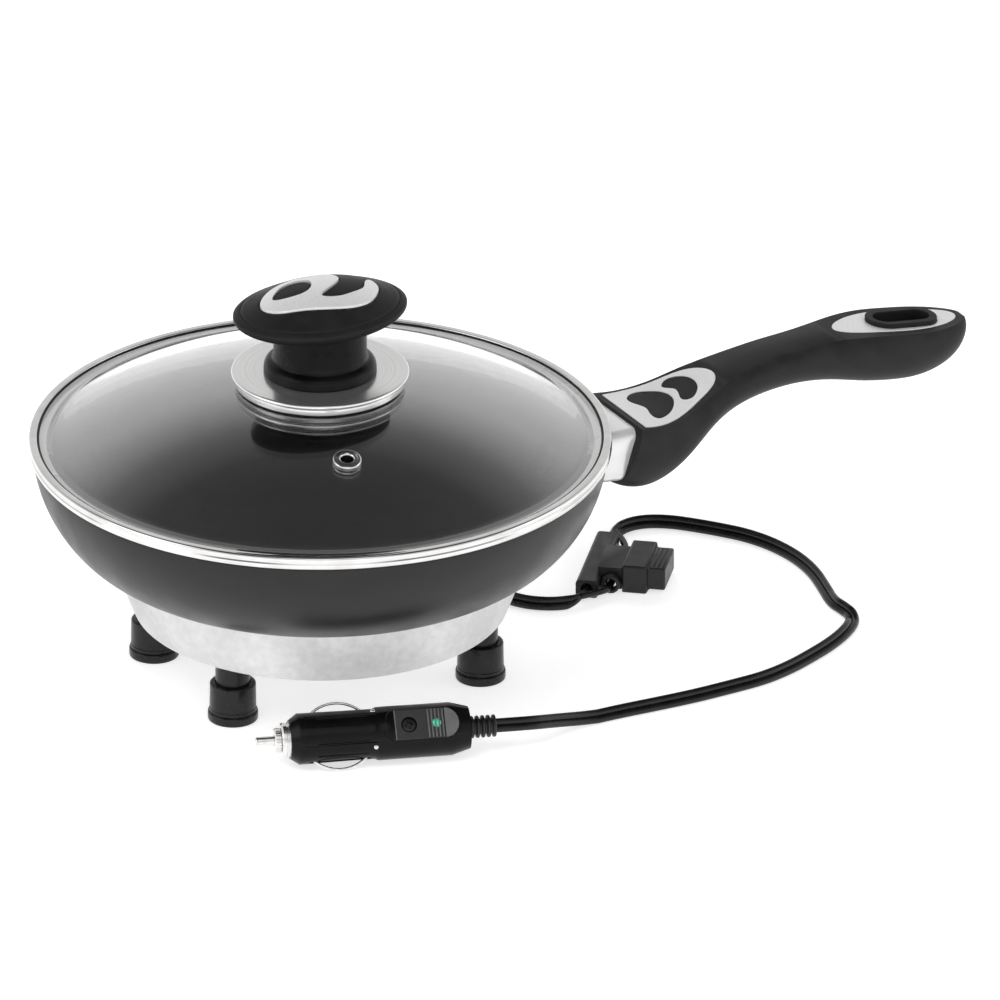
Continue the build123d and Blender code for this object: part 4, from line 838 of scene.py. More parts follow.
# %% A tree that copies a piece to points
def copies_tree():
    """Copies a piece to the carrier's points, each turned by its `turn`."""
    tree, given = new_tree("copies_on_points", Points="Geometry", Piece="Object", Size="Float",
                           Finish="Material")
    piece = add(tree, "GeometryNodeObjectInfo", Object=given["Piece"])
    turn = tree.nodes.new("GeometryNodeInputNamedAttribute")
    turn.data_type = "FLOAT_VECTOR"
    feed(tree, turn, Name="turn")
    copies = add(tree, "GeometryNodeInstanceOnPoints", Points=given["Points"],
                 Instance=piece.outputs["Geometry"], Rotation=turn.outputs["Attribute"],
                 Scale=given["Size"])
    return end_tree(tree, copies.outputs["Instances"], given["Finish"])


copies_on_points = copies_tree()


def copied(name, piece, material, places=None, turns=None):
    """One mesh with `piece` at every place (millimetres) and turn (degrees)."""
    places = places or [(0, 0, 0)] * len(turns)
    carrier = drawn_line(name + "_points", places)
    turn = carrier.data.attributes.new("turn", "FLOAT_VECTOR", "POINT")
    for i, angles in enumerate(turns or [(0, 0, 0)] * len(places)):
        turn.data[i].vector = [radians(angle) for angle in angles]
    result = run_tree(carrier, copies_on_points, name, Piece=piece, Size=1.0, Finish=material)
    bpy.data.meshes.remove(piece.data)
    return result


# %% [markdown]
# The boot and its post are each turned once and copied to the same four places.

# %% Four boots and their posts
foot_angles = (-46, 46, 148, -151)
foot_circle = 61.8
boot_profile = [(0, 0.0), (6.6, 0.0), (7.0, 0.35)]
boot_profile += arc((8.55, 0.8), 0.8, -90, 0, 4) + arc((8.55, 2.9), 0.8, 0, 90, 4)
boot_profile += arc((9.15, 4.1), 0.4, -90, -180, 3)
boot_profile += [(8.7, 4.9), (8.5, 5.1), (8.5, 5.4), (8.7, 5.6), (8.62, 9.0)]
boot_profile += arc((7.75, 14.2), 0.8, 0, 90, 4) + [(6.7, 15.0), (6.7, 13.4), (0, 13.4)]
post_profile = [(0, 12.6), (6.5, 12.6), (6.5, 22.0), (6.1, 22.5), (6.1, 23.0), (0, 23.0)]
foot_places = [polar(foot_circle, angle, 0) for angle in foot_angles]
for part, profile, steps in (("boot", boot_profile, 72), ("post", post_profile, 64)):
    feet = copied(f"foot_{part}s", lathe(part, profile, steps), foot_rubber, foot_places)
    finished(feet, foot_rubber, *[f"foot_{part}_{i}" for i in (1, 2, 3, 4)])
    print(part, len(feet.data.polygons), "faces")

# %% [markdown]
# ## Screw heads
# A pan-head screw is a low dome with a cross recess. One head is turned from a
# profile and the cross is cut by pulling the middle of the dome down along two
# arms, so that it reads as a real recess from close by.


# %% Cross-head screws
def cross_head(name, radius, height, shank, length):
    """A screw along +Z: its head's seat at 0, the shank below."""
    dome = [(0.0, height)] + [(radius * share, height * (1 - 0.35 * share ** 2.4))
                              for share in [i / 16 for i in range(1, 16)]]
    rim = [(radius, height * 0.55), (radius, 0.12 * height), (radius * 0.97, 0)]
    rod = [(shank, 0), (shank, -length + 0.3 * shank), (0.7 * shank, -length), (0, -length)]
    screw = lathe(name, (dome + rim + rod)[::-1], steps=64)
    arm, deep, half = 0.58 * radius, 0.62 * height, 0.13 * radius
    for vertex in screw.data.vertices:
        x, y, z = [c / mm for c in vertex.co]
        if z < 0.4 * height:
            continue
        across, along = sorted((abs(x), abs(y)))
        inside = eased((half * 1.7 - across) / (half * 0.9)) * eased((arm - along) / (0.12 * arm))
        vertex.co.z -= inside * deep * mm
    return smooth(screw, 50)


def screws(name, node, places, seat, size, first=180, step=37):
    """Screws at their places; a first turn of 180 degrees makes their heads look down."""
    turns = [(first, 0, step * i) for i in range(len(places))]
    spots = [(x, y, seat) for x, y, _ in places]
    piece = copied(name, cross_head("screw", *size), screw_steel, spots, turns)
    finished(piece, screw_steel, node)
    print(name, "at", round(seat, 1))


small_head, large_head = 1.8, 2.4
cover_places = [polar(47.8, angle, 0) for angle in (90, 210, 330)]
base_places = [polar(61.0, angle, 0) for angle in (0, 105, 255)]
for name, node, places, size in (
        ("plate_screws", "cover_screws", cover_places, (2.7, small_head, 1.5, 5.0)),
        ("deep_screws", "base_screws", base_places, (3.9, large_head, 2.0, 13.0)),
        ("grip_screw", "handle_screw", [(141.0, 0, 0)], (3.9, large_head, 2.0, 11.0))):
    screws(name, node, places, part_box(node)[0][2] / mm + size[1], size)
screws("boot_screws", "foot_screws", foot_places, 26.0, (3.9, large_head, 2.0, 12.0), 0, 29)

# %% [markdown]
# ## The glass lid
# A tempered lid is a sheet of glass, 3.6 mm thick, slumped into a low dome with a
# level rim. It is turned from one closed profile, so that light enters and
# leaves through two true faces, and a small round hole is cut for the vent.

# %% Heights of the lid
glass_low, glass_edge, crown = 86.3, 89.9, 114.8
glass_reach, dome_reach = 106.0, 100.0
glass_sheet, edge_round = 3.6, 0.9
dome_rise = crown - glass_edge
dome_sphere = (dome_reach ** 2 + dome_rise ** 2) / (2 * dome_rise)
dome_middle = crown - dome_sphere
low_sphere = dome_sphere - glass_sheet
vent_x, vent_y = -19.3, -54.6


def dome_top(radius, sphere=dome_sphere):
    """Height of the dome's outside, or of its inside with the smaller sphere."""
    return dome_middle + sqrt(sphere ** 2 - radius ** 2)


def cut_away(piece, cutter):
    """Cuts one closed mesh out of another and removes the cutter."""
    cut = piece.modifiers.new("cut", "BOOLEAN")
    cut.operation = "DIFFERENCE"
    cut.solver = "EXACT"
    cut.object = cutter
    mesh = evaluated_mesh(piece)
    piece.modifiers.remove(cut)
    old = piece.data
    piece.data = mesh
    bpy.data.meshes.remove(old)
    bpy.data.meshes.remove(cutter.data)
    return smooth(piece)


# %% [markdown]
# The outside and the inside are parts of two spheres with one centre, so the
# glass is equally thick. A short turn at the edge leads into the level rim.

# %% The dome
low_reach = sqrt(low_sphere ** 2 - (glass_low - dome_middle) ** 2)
outer_turn, inner_turn = dome_reach - 0.8, low_reach - 4.5
turn_top = [dome_reach * i / 40 for i in range(1, 40)]
turn_low = [low_reach * i / 36 for i in range(35, 0, -1)]
glass_profile = [(0, crown)] + [(r, dome_top(r)) for r in turn_top if r < outer_turn - 0.3]
glass_profile += bezier((outer_turn, dome_top(outer_turn)),
                        (dome_reach + 0.6, glass_edge + 0.35), (dome_reach + 1.6, glass_edge),
                        (dome_reach + 2.8, glass_edge), 5)
for height, first in ((glass_edge - edge_round, 90), (glass_low + edge_round, 0)):
    glass_profile += arc((glass_reach - edge_round, height), edge_round, first, first - 90, 4)
glass_profile += bezier((low_reach + 4.0, glass_low), (low_reach + 1.6, glass_low),
                        (low_reach - 1.4, glass_low + 0.9),
                        (inner_turn, dome_top(inner_turn, low_sphere)), 10)
glass_profile += [(r, dome_top(r, low_sphere)) for r in turn_low if r < inner_turn]
glass_profile += [(0, dome_middle + low_sphere)]
lid_dome = lathe("lid_dome", glass_profile, 192)
vent_drill = lathe("vent_drill", [(0, 80), (3.2, 80), (3.2, 130), (0, 130)], 40)
cut_away(lid_dome, place_mesh(vent_drill, moved(vent_x, vent_y, 0)))
finished(smooth(lid_dome, 40), lid_glass, "lid_glass")
print("lid dome", len(lid_dome.data.polygons), "faces, sphere", round(dome_sphere, 1), "mm")

# %% [markdown]
# ## The rim band
# A polished steel strip is rolled round the glass: a flat flange above, a rolled
# side and a lip below that centres the lid in the pan. Small radii and a raised
# bead catch thin bright and dark lines, as rolled sheet does. A thin black ring
# laid in the joint between the flange and the glass is painted shade: it stands
# for the shadow in that joint.

# %% The band and its painted shade ring
band_out, band_high, band_low, ledge_out = 108.0, 90.6, 85.6, 105.6
seam_out, seam_in = band_out - 3.1, band_out - 4.0
seat_top, seat_low, seat_out = glass_edge + 0.02, glass_low - 0.02, glass_reach + 0.02
band_profile = [(seam_out, seat_top)]
band_profile += bezier((seam_out, glass_edge + 0.4), (seam_out + 0.05, band_high - 0.1),
                       (seam_out + 0.15, band_high), (seam_out + 0.35, band_high), 4)
band_profile += bezier((band_out - 0.9, band_high), (band_out - 0.3, band_high),
                       (band_out, band_high - 0.4), (band_out, band_high - 1.3), 7)
band_profile += [(band_out - 0.35, band_high - 1.9), (band_out - 0.35, band_high - 2.4)]
band_profile += bezier((band_out, band_high - 2.9), (band_out, band_high - 3.9),
                       (band_out - 0.2, band_low + 0.25), (band_out - 1.0, band_low), 7)
band_profile += [(ledge_out, band_low), (ledge_out, seat_low), (glass_reach - 0.2, seat_low),
                 (seat_out, glass_low + 0.3), (seat_out, glass_edge - 0.3),
                 (glass_reach - 0.2, seat_top), (seam_out, seat_top)]
finished(lathe("lid_band", band_profile, 256), bright_steel, "lid_rim_band")
# The black ring below is painted shade: it stands for the shadow in the joint between the flange
# and the glass.
shade_ring_profile = [(seam_in, glass_edge + 0.03), (seam_in + 0.1, glass_edge + 0.16),
                (seam_out - 0.1, glass_edge + 0.28), (seam_out + 0.08, glass_edge + 0.2),
                (seam_out + 0.08, glass_edge + 0.03), (seam_in, glass_edge + 0.03)]
finished(lathe("lid_seam", shade_ring_profile, 256), stem_black, like="lid_rim_band")

# %% [markdown]
# Below the glass the strip turns in as a ledge and then down as a lip. Its two
# rolled beads keep the lid from sliding off the pan.

# %% The ledge and the lip
lip_low, bead, bead_step = 78.2, 0.55, 3.2
lip_in, lip_middle, lip_out = 101.0, 101.15, 101.7
lip_profile = [(ledge_out + 0.1, seat_low), (ledge_out + 0.1, band_low + 0.02),
               (lip_out + 0.2, band_low), (lip_out, band_low - 0.3), (lip_out, lip_low + bead)]
lip_profile += arc((lip_middle, lip_low + bead), bead, 0, -180, 8)
lip_profile += arc((lip_middle, lip_low + bead), bead, 180, 110, 4)
lip_profile += [(lip_in, lip_low + 1.6), (lip_in, lip_low + bead_step - 0.5)]
lip_profile += arc((lip_middle, lip_low + bead_step), bead, 230, 130, 6)
lip_profile += [(lip_in, lip_low + bead_step + 0.5), (lip_in, seat_low - 0.05),
                (lip_in + 0.05, seat_low), (ledge_out + 0.1, seat_low)]
finished(lathe("lid_lip", lip_profile, 256), lip_steel, like="lid_rim_band")

# %% [markdown]
# ## The steam vent
# A pressed eyelet: a rolled flange on each side of the glass, joined by a tube.
# It lies square to the dome, so it leans outwards a little.

# %% The vent eyelet
vent_profile = [(2.3, -5.6), (2.3, 0.2)] + arc((3.35, 0.3), 1.05, 180, 60, 7)
vent_profile += arc((4.65, 0.45), 0.7, 110, -60, 7)
vent_profile += [(4.6, -0.35), (3.2, -0.2), (3.2, -3.5), (4.7, -3.6)]
vent_profile += arc((4.7, -4.2), 0.6, 60, -80, 5) + [(4.0, -5.1), (3.1, -5.6), (2.3, -5.6)]
vent_ring = lathe("vent_ring", vent_profile, 56)
lean = Vector((vent_x, vent_y, dome_top(sqrt(vent_x ** 2 + vent_y ** 2)) - dome_middle))
lean.normalize()
tip = Vector((0, 0, 1)).rotation_difference(lean).to_matrix().to_4x4()
place_mesh(vent_ring, moved(*(lean * dome_sphere + Vector((0, 0, dome_middle)))) @ tip)
finished(vent_ring, bright_steel, "vent_eyelet")

# %% [markdown]
# ## The knob
# The knob is a stack: a polished steel skirt that hides the hole in the glass, a
# black stem that flares at its foot, and an oval mushroom cap with a crease
# above its rounded rim. The skirt and stem are turned; the cap is turned and
# then flattened across, which keeps its crease an even oval.


# %% Skirt and stem
def raised(profile, height):
    """A profile that is drawn from a level of its own."""
    return [(r, z + height) for r, z in profile]


skirt_low, skirt_rise, stem_rise = dome_top(28.5), 4.6, 21.6
skirt_high = skirt_low + skirt_rise
skirt_profile = [(0, 3.4), (26.0, 3.4), (27.3, 1.4), (27.3, 0.12), (27.6, 0), (30.9, 0.02)]
skirt_profile += arc((31.3, 0.6), 0.55, -80, 0, 5) + arc((31.35, 2.2), 0.5, 0, 70, 5)
skirt_profile += [(30.9, 2.75), (31.0, 2.95)] + arc((32.35, 3.6), 0.6, -80, 0, 5)
skirt_profile += arc((32.35, 4.0), 0.6, 0, 90, 6)
skirt_profile += [(31.6, skirt_rise), (22.0, skirt_rise), (0, skirt_rise)]
finished(lathe("knob_plate", raised(skirt_profile, skirt_low), 160), satin_steel, "knob_skirt")

stem_profile = [(0, -1.0), (20.2, -1.0), (20.7, 0.1)] + arc((20.2, 0.8), 0.8, -30, 30, 4)
stem_profile += bezier((20.9, 1.9), (20.8, 3.6), (19.9, 4.5), (18.8, 4.9), 8)
stem_profile += bezier((18.1, 5.1), (17.5, 5.5), (17.3, 6.4), (17.3, 7.6), 6) + [(17.4, 16.6)]
stem_profile += bezier((17.4, 17.6), (17.5, 19.4), (18.2, 20.6), (20.0, 21.4), 8) + [(0, 21.4)]
finished(lathe("knob_post", raised(stem_profile, skirt_high), 128), stem_black, "knob_stem")

# %% [markdown]
# The cap's rim is round. Its low dome starts a little deeper behind the crease,
# which leaves the thin step that can be seen round the top.

# %% The cap
cap_low = skirt_high + stem_rise - 2.2
cap_long, cap_short, cap_rise, cap_sink = 34.0, 25.8, 15.4, 0.4
crease, crease_reach = 7.0, 31.5
crown_rise = cap_rise - crease
crown_sphere = (crease_reach ** 2 + crown_rise ** 2) / (2 * crown_rise)


def cap_height_at(radius):
    """Height of the low dome inside the crease, which sinks behind the crease."""
    dome = cap_rise - crown_sphere + sqrt(crown_sphere ** 2 - radius ** 2)
    return dome - cap_sink * eased((crease_reach - radius) / 5)


cap_profile = [(0, 1.5), (17.6, 1.5), (18.6, 0.3), (20.5, 0.05), (24.5, 0)]
cap_profile += bezier((27.4, 0.5), (31.4, 1.9), (cap_long, 3.4), (cap_long, 4.8), 14)
cap_profile += bezier((cap_long, 5.6), (cap_long - 0.3, 6.1), (crease_reach + 1.1, 6.75),
                      (crease_reach + 0.1, 6.9), 8)
cap_profile += [(crease_reach - 0.35, 6.7)]
cap_turn = [(crease_reach - 0.6) * (1 - i / 30) for i in range(30)]
cap_profile += [(r, cap_height_at(r)) for r in cap_turn] + [(0, cap_rise - cap_sink)]
knob_cap = lathe("knob_cap_form", raised(cap_profile, cap_low), 160)
place_mesh(knob_cap, Matrix.Diagonal((1, cap_short / cap_long, 1, 1)))

# %% [markdown]
# ## The bright swirl
# The swirl is a foil-covered insert pressed into the cap. The cap gets a channel
# a little wider than the insert, so a dark line runs round it, and the insert
# has a rounded edge that catches a bright line.

# %% Channel and insert
channel_gap = 0.6
channel = solid_copy("swirl_channel", "knob_inlay")
work = bmesh.new()
work.from_mesh(channel.data)
work.normal_update()
moves = {}
for vertex in work.verts:
    push = Vector((0, 0, 0))
    for face in vertex.link_faces:
        if abs(face.normal.z) < 0.35:
            push += Vector((face.normal.x, face.normal.y, 0)).normalized()
    if push.length > 1e-6:
        moves[vertex] = push.normalized() * channel_gap * mm
for vertex, push in moves.items():
    vertex.co += push
work.to_mesh(channel.data)
work.free()
cut_away(knob_cap, place_mesh(channel, moved(0, 0, 0.6)))
finished(smooth(knob_cap, 24), knob_black, "knob_cap")
rounded_copy("knob_swirl", "knob_inlay", silver_inlay, 0.45, 3, 40)
finished(solid_copy("knob_seal", "knob_washer"), relief_rubber, "knob_washer")
print("knob top", round(cap_low + cap_rise, 2), "mm; cap", len(knob_cap.data.polygons), "faces")

# %% [markdown]
# ## The handle
# The grip is moulded round a flat tang. Its solid is a loft through nineteen
# cross-sections, with pockets for two inlays and a hanging hole. A cleaned copy
# is smooth along its length; only the real edges of the pockets, the front face
# and the top are rounded, as draft and polish leave them.

# %% Grip, inlays and eyelet
rounded_copy("grip", "handle_grip", grip_black, 0.5, 3, 35)
rounded_copy("grip_front_inlay", "handle_front_inlay", silver_inlay, 0.28, 2, 40)
rounded_copy("grip_tail_inlay", "handle_tail_inlay", silver_inlay, 0.28, 2, 40)
rounded_copy("grip_eyelet", "hang_eyelet", knob_black, 0.7, 4, 40)

# %% [markdown]
# ## Ferrule, bracket, rivets and grommet
# The ferrule is a polished box section that covers the gap between pan and grip.
# Behind it a riveted bracket carries the tang. The ferrule's flat top and its
# chamfers must stay crisp, so it only gets a small rounding. The rivets' heads
# have the pan's coating. A rubber bush keeps the lead off the hole in the base.

# %% Ferrule, bracket, rivets and grommet
rounded_copy("grip_ferrule", "ferrule", ferrule_steel, 0.35, 2, 25)
rounded_copy("grip_bracket", "handle_bracket", cover_steel, 0.3, 2, 35)
rounded_copy("pan_rivets", "bracket_rivets", pan_coating, 0.6, 3, 35)
rounded_copy("base_grommet", "cord_grommet", foot_rubber, 0.4, 2, 35)

# %% [markdown]
# ## The fuse holder
# A moulded sleeve carries one core of the lead straight through; a socket on its
# side takes a blade fuse, and a cap with a collar covers it. Every edge of such
# a moulding is rounded. Three grip ribs are copied along the top of the cap by
# Geometry Nodes.


# %% A moulded bar
def rounded_bar(name, low, high, radius, segments=3):
    """A moulded bar between two corners (millimetres) with rounded edges."""
    x0, y0, z0 = low
    x1, y1, z1 = high
    corners = [(x, y, z) for x in (x0, x1) for y in (y0, y1) for z in (z0, z1)]
    faces = [(0, 1, 3, 2), (4, 6, 7, 5), (0, 4, 5, 1), (2, 3, 7, 6), (0, 2, 6, 4), (1, 5, 7, 3)]
    bar = new_object(name, corners, faces)
    work = bmesh.new()
    work.from_mesh(bar.data)
    bmesh.ops.bevel(work, geom=work.edges[:] + work.verts[:], offset=radius * mm,
                    segments=segments, affect="EDGES", profile=0.5)
    work.to_mesh(bar.data)
    work.free()
    return smooth(bar)


# %% [markdown]
# The sleeve, the cap, the blade fuse and the eye keep the shape of their solids,
# with rounded edges. Only the ribs of the cap are new.

# %% Sleeve, cap and fuse
rounded_copy("fuse_socket", "fuse_holder_body", holder_black, 0.5, 3, 35)
rounded_copy("fuse_cap_form", "fuse_holder_cap", holder_black, 0.8, 3, 35)
rounded_copy("amber_fuse", "blade_fuse", fuse_amber, 0.3, 2, 35)
rounded_copy("lead_eye", "fuse_tether", holder_black, 0.45, 3, 35)
rib = rounded_bar("rib", (-0.5, -8.2, -0.35), (0.5, 8.2, 0.35), 0.3, 2)
rib_places = [(x, -3.5, 9.75) for x in (23.4, 25.2, 27.0)]
cap_ribs = copied("fuse_cap_ribs", rib, holder_black, rib_places)
place_mesh(cap_ribs, moved(*holder_place, 0) @ turned(holder_angle, "Z"))
finished(cap_ribs, holder_black, like="fuse_holder_cap")
print("handle and fuse holder made")

# %% [markdown]
# ## The power plug
# The plug's body is two moulded halves on one long axis. A copy of each half
# keeps its slots, bore and recessed panel. Cutters arranged round the axis by
# Geometry Nodes give the barrel its lengthwise grooves.

# %% A place on the plug
plug_turn = moved(*plug_place) @ turned(plug_angle, "Z") @ turned(plug_roll, "X")
along_axis = turned(90, "Y")


def round_axis(name, piece, material, angles):
    """Copies of a piece at several angles about the plug's axis."""
    return copied(name, piece, material, turns=[(angle, 0, 0) for angle in angles])


def on_shell(piece, material, slot=None):
    """Sets a piece that was made along +X on the plug's shell."""
    return finished(place_mesh(piece, plug_turn), material, like="plug_shell_upper", slot=slot)


# %% [markdown]
# The grooves are cut with an exact Boolean before the edges are rounded, so that
# the edges of the grooves are rounded too.

# %% The two halves with grooves along the barrel
groove = rounded_bar("groove", (22.4, -0.42, 9.0), (41.6, 0.42, 10.4), 0.2, 1)
groove_angles = (30, 64, 116, 150, 210, 244, 296, 330)
grooves = place_mesh(round_axis("barrel_grooves", groove, plug_black, groove_angles), plug_turn)
for label in ("upper", "lower"):
    half = solid_copy(f"plug_{label}", f"plug_shell_{label}")
    cut_away(half, put("cutter", grooves.data.copy()))
    finished(soften(smooth(half, 30), 0.22, 2, 35), plug_black, f"plug_shell_{label}")
bpy.data.meshes.remove(grooves.data)

# %% [markdown]
# ## Nose, contacts and lamp
# The nose is a flange, a knurled ring that screws off and a sprung pin with a
# rounded tip. Two bows of spring wire stand out of the sides. The pin and the
# bows are nickel-plated, so they are brighter than the black round them.


# %% Turned parts of the nose and the relief; profiles are (radius, way from the tip)
def on_axis(name, profile, steps=96):
    """A turned piece on the plug's axis."""
    return place_mesh(lathe(name, profile, steps), plug_turn @ along_axis)


flange_profile = [(1.9, 9.7), (5.8, 9.6), (6.45, 10.2), (6.45, 11.3), (6.2, 11.5), (6.2, 12.0),
                  (6.45, 12.2), (6.45, 12.7), (1.9, 12.7), (1.9, 9.7)]
finished(on_axis("nose_flange", flange_profile), contact_nickel, "plug_flange")
pin_profile = [(0, 0)] + arc((0.55, 1.2), 1.2, -90, -8, 6)
pin_profile += [(1.78, 1.5), (1.8, 12.85), (2.9, 12.9), (3.0, 13.0), (3.0, 14.4), (2.9, 14.5),
                (1.8, 14.5), (1.8, 20.5), (1.6, 20.7), (0, 20.7)]
finished(on_axis("centre_pin", pin_profile, 64), contact_nickel, "plug_pin")
relief_profile = [(0, 76.2), (4.6, 76.2), (4.6, 78.0), (2.9, 78.0), (2.9, 79.9)]
for start in [80.35 + 2.06 * i for i in range(5)]:
    relief_profile += [(2.95, start - 0.1), (3.9, start), (4.15, start + 0.25),
                       (4.15, start + 0.95), (3.9, start + 1.2), (2.95, start + 1.3)]
relief_profile += [(2.9, 90.0), (2.4, 90.1), (0, 90.1)]
finished(on_axis("ribbed_relief", relief_profile, 72), relief_rubber, "strain_relief")


# %% [markdown]
# The ring is a turned core with twenty-four teeth round it, kept in one mesh, so
# that it turns as one piece.

# %% The knurled ring
def join(name, *pieces):
    """Several pieces as one mesh object."""
    work = bmesh.new()
    for piece in pieces:
        work.from_mesh(piece.data)
        bpy.data.meshes.remove(piece.data)
    mesh = bpy.data.meshes.new(name)
    work.to_mesh(mesh)
    work.free()
    return smooth(put(name, mesh))


ring_profile = [(1.9, 7.15), (3.9, 7.1), (4.45, 7.5), (4.45, 9.4), (4.2, 9.6), (1.9, 9.6),
                (1.9, 7.15)]
ring_core = place_mesh(lathe("ring_core", ring_profile, 96), along_axis)
tooth = rounded_bar("tooth", (7.5, -0.28, 4.2), (9.4, 0.28, 4.6), 0.1, 1)
teeth = round_axis("ring_teeth", tooth, contact_nickel, range(0, 360, 15))
knurled_ring = place_mesh(join("knurled_ring", ring_core, teeth), plug_turn)
finished(knurled_ring, contact_nickel, "nose_ring")

# %% [markdown]
# The bows and the spring are copies of their solids. A spring that kept its
# length would meet the pin that is pressed in; this one gets a mesh of its own
# but keeps its length.

# %% Side bows, and the spring, which gets a mesh of its own
for name, node in (("bow_back", "side_contact_back"), ("bow_front", "side_contact_front"),
                   ("pin_coil", "pin_spring")):
    coil = finished(smooth(solid_copy(name, node), 60), contact_nickel, node)
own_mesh(coil)

# %% [markdown]
# Two pairs of rails run along the barrel beside the bows. Two rivets hold them.

# %% Rails and rivets beside the bows
rail_angle, rivet_reach = 47, 9.35
rail = rounded_bar("rail", (17.6, -2.0, 8.5), (45.6, 2.0, 9.6), 0.45, 2)
rail_angles = (rail_angle, -rail_angle, 180 - rail_angle, rail_angle - 180)
on_shell(round_axis("bow_rails", rail, plug_black, rail_angles), plug_black)
rivet_profile = [(0, -0.8), (1.0, -0.8), (1.0, 0.1)] + arc((0, -0.25), 1.06, 20, 90, 5)[:-1]
rivet = lathe("rivet", rivet_profile + [(0, 0.81)], 32)
rivet_side = rivet_reach * sin(radians(rail_angle))
rivet_up = rivet_reach * cos(radians(rail_angle))
bow_rivets = copied("bow_rivets", rivet, contact_nickel,
                    [(43.9, rivet_side, rivet_up), (43.9, -rivet_side, rivet_up)],
                    [(-rail_angle, 0, 0), (rail_angle, 0, 0)])
on_shell(bow_rivets, contact_nickel, slot="contact_brass")

# %% [markdown]
# ## The switch panel
# A shallow recess holds a matt plate with the screw; five grip ribs and a paler,
# half-round end plate follow it. A raised arc in front of it stops the thumb.


# %% Plates, ribs and arc
def flat_plate(name, outline, low, high):
    """A plate with a drawn outline."""
    count = len(outline)
    vertices = [(x, y, low) for x, y in outline] + [(x, y, high) for x, y in outline]
    faces = [tuple(range(count))[::-1], tuple(range(count, 2 * count))]
    faces += [(i, (i + 1) % count, count + (i + 1) % count, count + i) for i in range(count)]
    return new_object(name, vertices, faces)


half_width, plate_low, screw_x = 5.65, 9.2, 56.5
face_outline = [(51.5, -half_width), (69.6, -half_width), (69.6, half_width), (51.5, half_width)]
face_plate = flat_plate("face_plate", face_outline, plate_low, 9.58)
screw_hole = lathe("screw_hole", [(0, 8), (2.95, 8), (2.95, 11), (0, 11)], 40)
cut_away(face_plate, place_mesh(screw_hole, moved(screw_x, 0, 0)))
on_shell(soften(face_plate, 0.12, 2, 40), panel_dark)
end_outline = [(69.9, half_width), (69.9, -half_width)]
end_outline += [(69.9 + 5.2 * cos(radians(a)), half_width * sin(radians(a)))
                for a in range(-84, 90, 12)]
end_plate = flat_plate("end_plate", end_outline, plate_low, 9.66)
on_shell(soften(end_plate, 0.15, 2, 40), panel_grey)
panel_edge = rounded_bar("panel_edge", (51.1, -half_width, plate_low),
                         (51.55, half_width, 9.95), 0.15, 2)
on_shell(panel_edge, panel_grey)
grip_rib = rounded_bar("grip_rib", (-0.28, -5.4, 9.3), (0.28, 5.4, 10.0), 0.18, 2)
grip_places = [(63.7 + 1.35 * i, 0, 0) for i in range(5)]
on_shell(copied("panel_ribs", grip_rib, panel_grey, grip_places), panel_grey)


def wire(name, points, radius, steps=10):
    """A thin round bead along a few points in millimetres."""
    path = [Vector(p) for p in points]
    vertices = []
    for i, place in enumerate(path):
        ahead = (path[min(i + 1, len(path) - 1)] - path[max(i - 1, 0)]).normalized()
        side = ahead.cross(Vector((1, 0, 0.3))).normalized()
        up = side.cross(ahead).normalized()
        for step in range(steps):
            angle = 2 * pi * step / steps
            vertices.append(place + radius * (side * cos(angle) + up * sin(angle)))
    return new_object(name, vertices, tube_faces(len(path), steps))


arc_points = []
for i in range(25):
    swing = radians(-80 + 160 * i / 24)
    across = 5.6 * sin(swing)
    arc_points.append((50.6 - 3.0 * cos(swing), across, sqrt(9.88 ** 2 - across ** 2)))
on_shell(wire("thumb_arc", arc_points, 0.30), plug_black)

# %% [markdown]
# The screw sits in the round hole of the plate. The lamp is a low green dome.

# %% Panel screw and lamp
panel_screw = cross_head("panel_screw_form", 2.7, 1.8, 1.5, 14.0)
place_mesh(panel_screw, plug_turn @ moved(screw_x, 0, 7.6) @ turned(20, "Z"))
finished(panel_screw, black_steel, "plug_screw")
lamp_profile = [(0, 6.5), (1.7, 6.5), (1.7, 9.4)] + arc((1.2, 9.35), 0.5, 0, 75, 4) + [(0, 9.9)]
lamp = place_mesh(lathe("lamp", lamp_profile, 48), plug_turn @ moved(66.8, 0, 0))
finished(lamp, led_green, "plug_led")
dressed(fuse_glass, "plug_fuse")
print("plug made")

# %% [markdown]


# %% [markdown]
# ## Floor and light
# The floor is pale and catches only a soft shadow. For the camera, for mirrors
# and for glass the surroundings are pale too; for soft light they are dimmer, so
# that a colour on the object comes out about as it is written. Four large soft
# panels give the black parts their long highlights.

# %% The floor
floor_side, floor_back = 6000, 12000


def emptied(owner):
    """The node tree of a new material or world, with nothing in it."""
    owner.use_nodes = True
    owner.node_tree.nodes.clear()
    return owner.node_tree


floor = new_object("floor", [(-floor_side, -floor_side, 0), (floor_side, -floor_side, 0),
                             (floor_side, floor_back, 0), (-floor_side, floor_back, 0)],
                   [(0, 1, 2, 3)])
floor_finish = bpy.data.materials.new("floor_white")
tree = emptied(floor_finish)
rays = add(tree, "ShaderNodeLightPath").outputs
seen = maths(tree, "MAXIMUM", rays["Is Camera Ray"], rays["Is Glossy Ray"])
seen = maths(tree, "MAXIMUM", seen, rays["Is Transmission Ray"])
plain = add(tree, "ShaderNodeBsdfDiffuse", Color=(*grey(0.80), 1)).outputs["BSDF"]
paper = add(tree, "ShaderNodeBsdfDiffuse", Color=(*grey(0.72), 1)).outputs["BSDF"]
glow = add(tree, "ShaderNodeEmission", Strength=0.62).outputs["Emission"]
lit_paper = wired(tree, "ShaderNodeAddShader", paper, glow).outputs["Shader"]
add(tree, "ShaderNodeOutputMaterial", Surface=either(tree, seen, plain, lit_paper))
floor.data.materials.append(floor_finish)
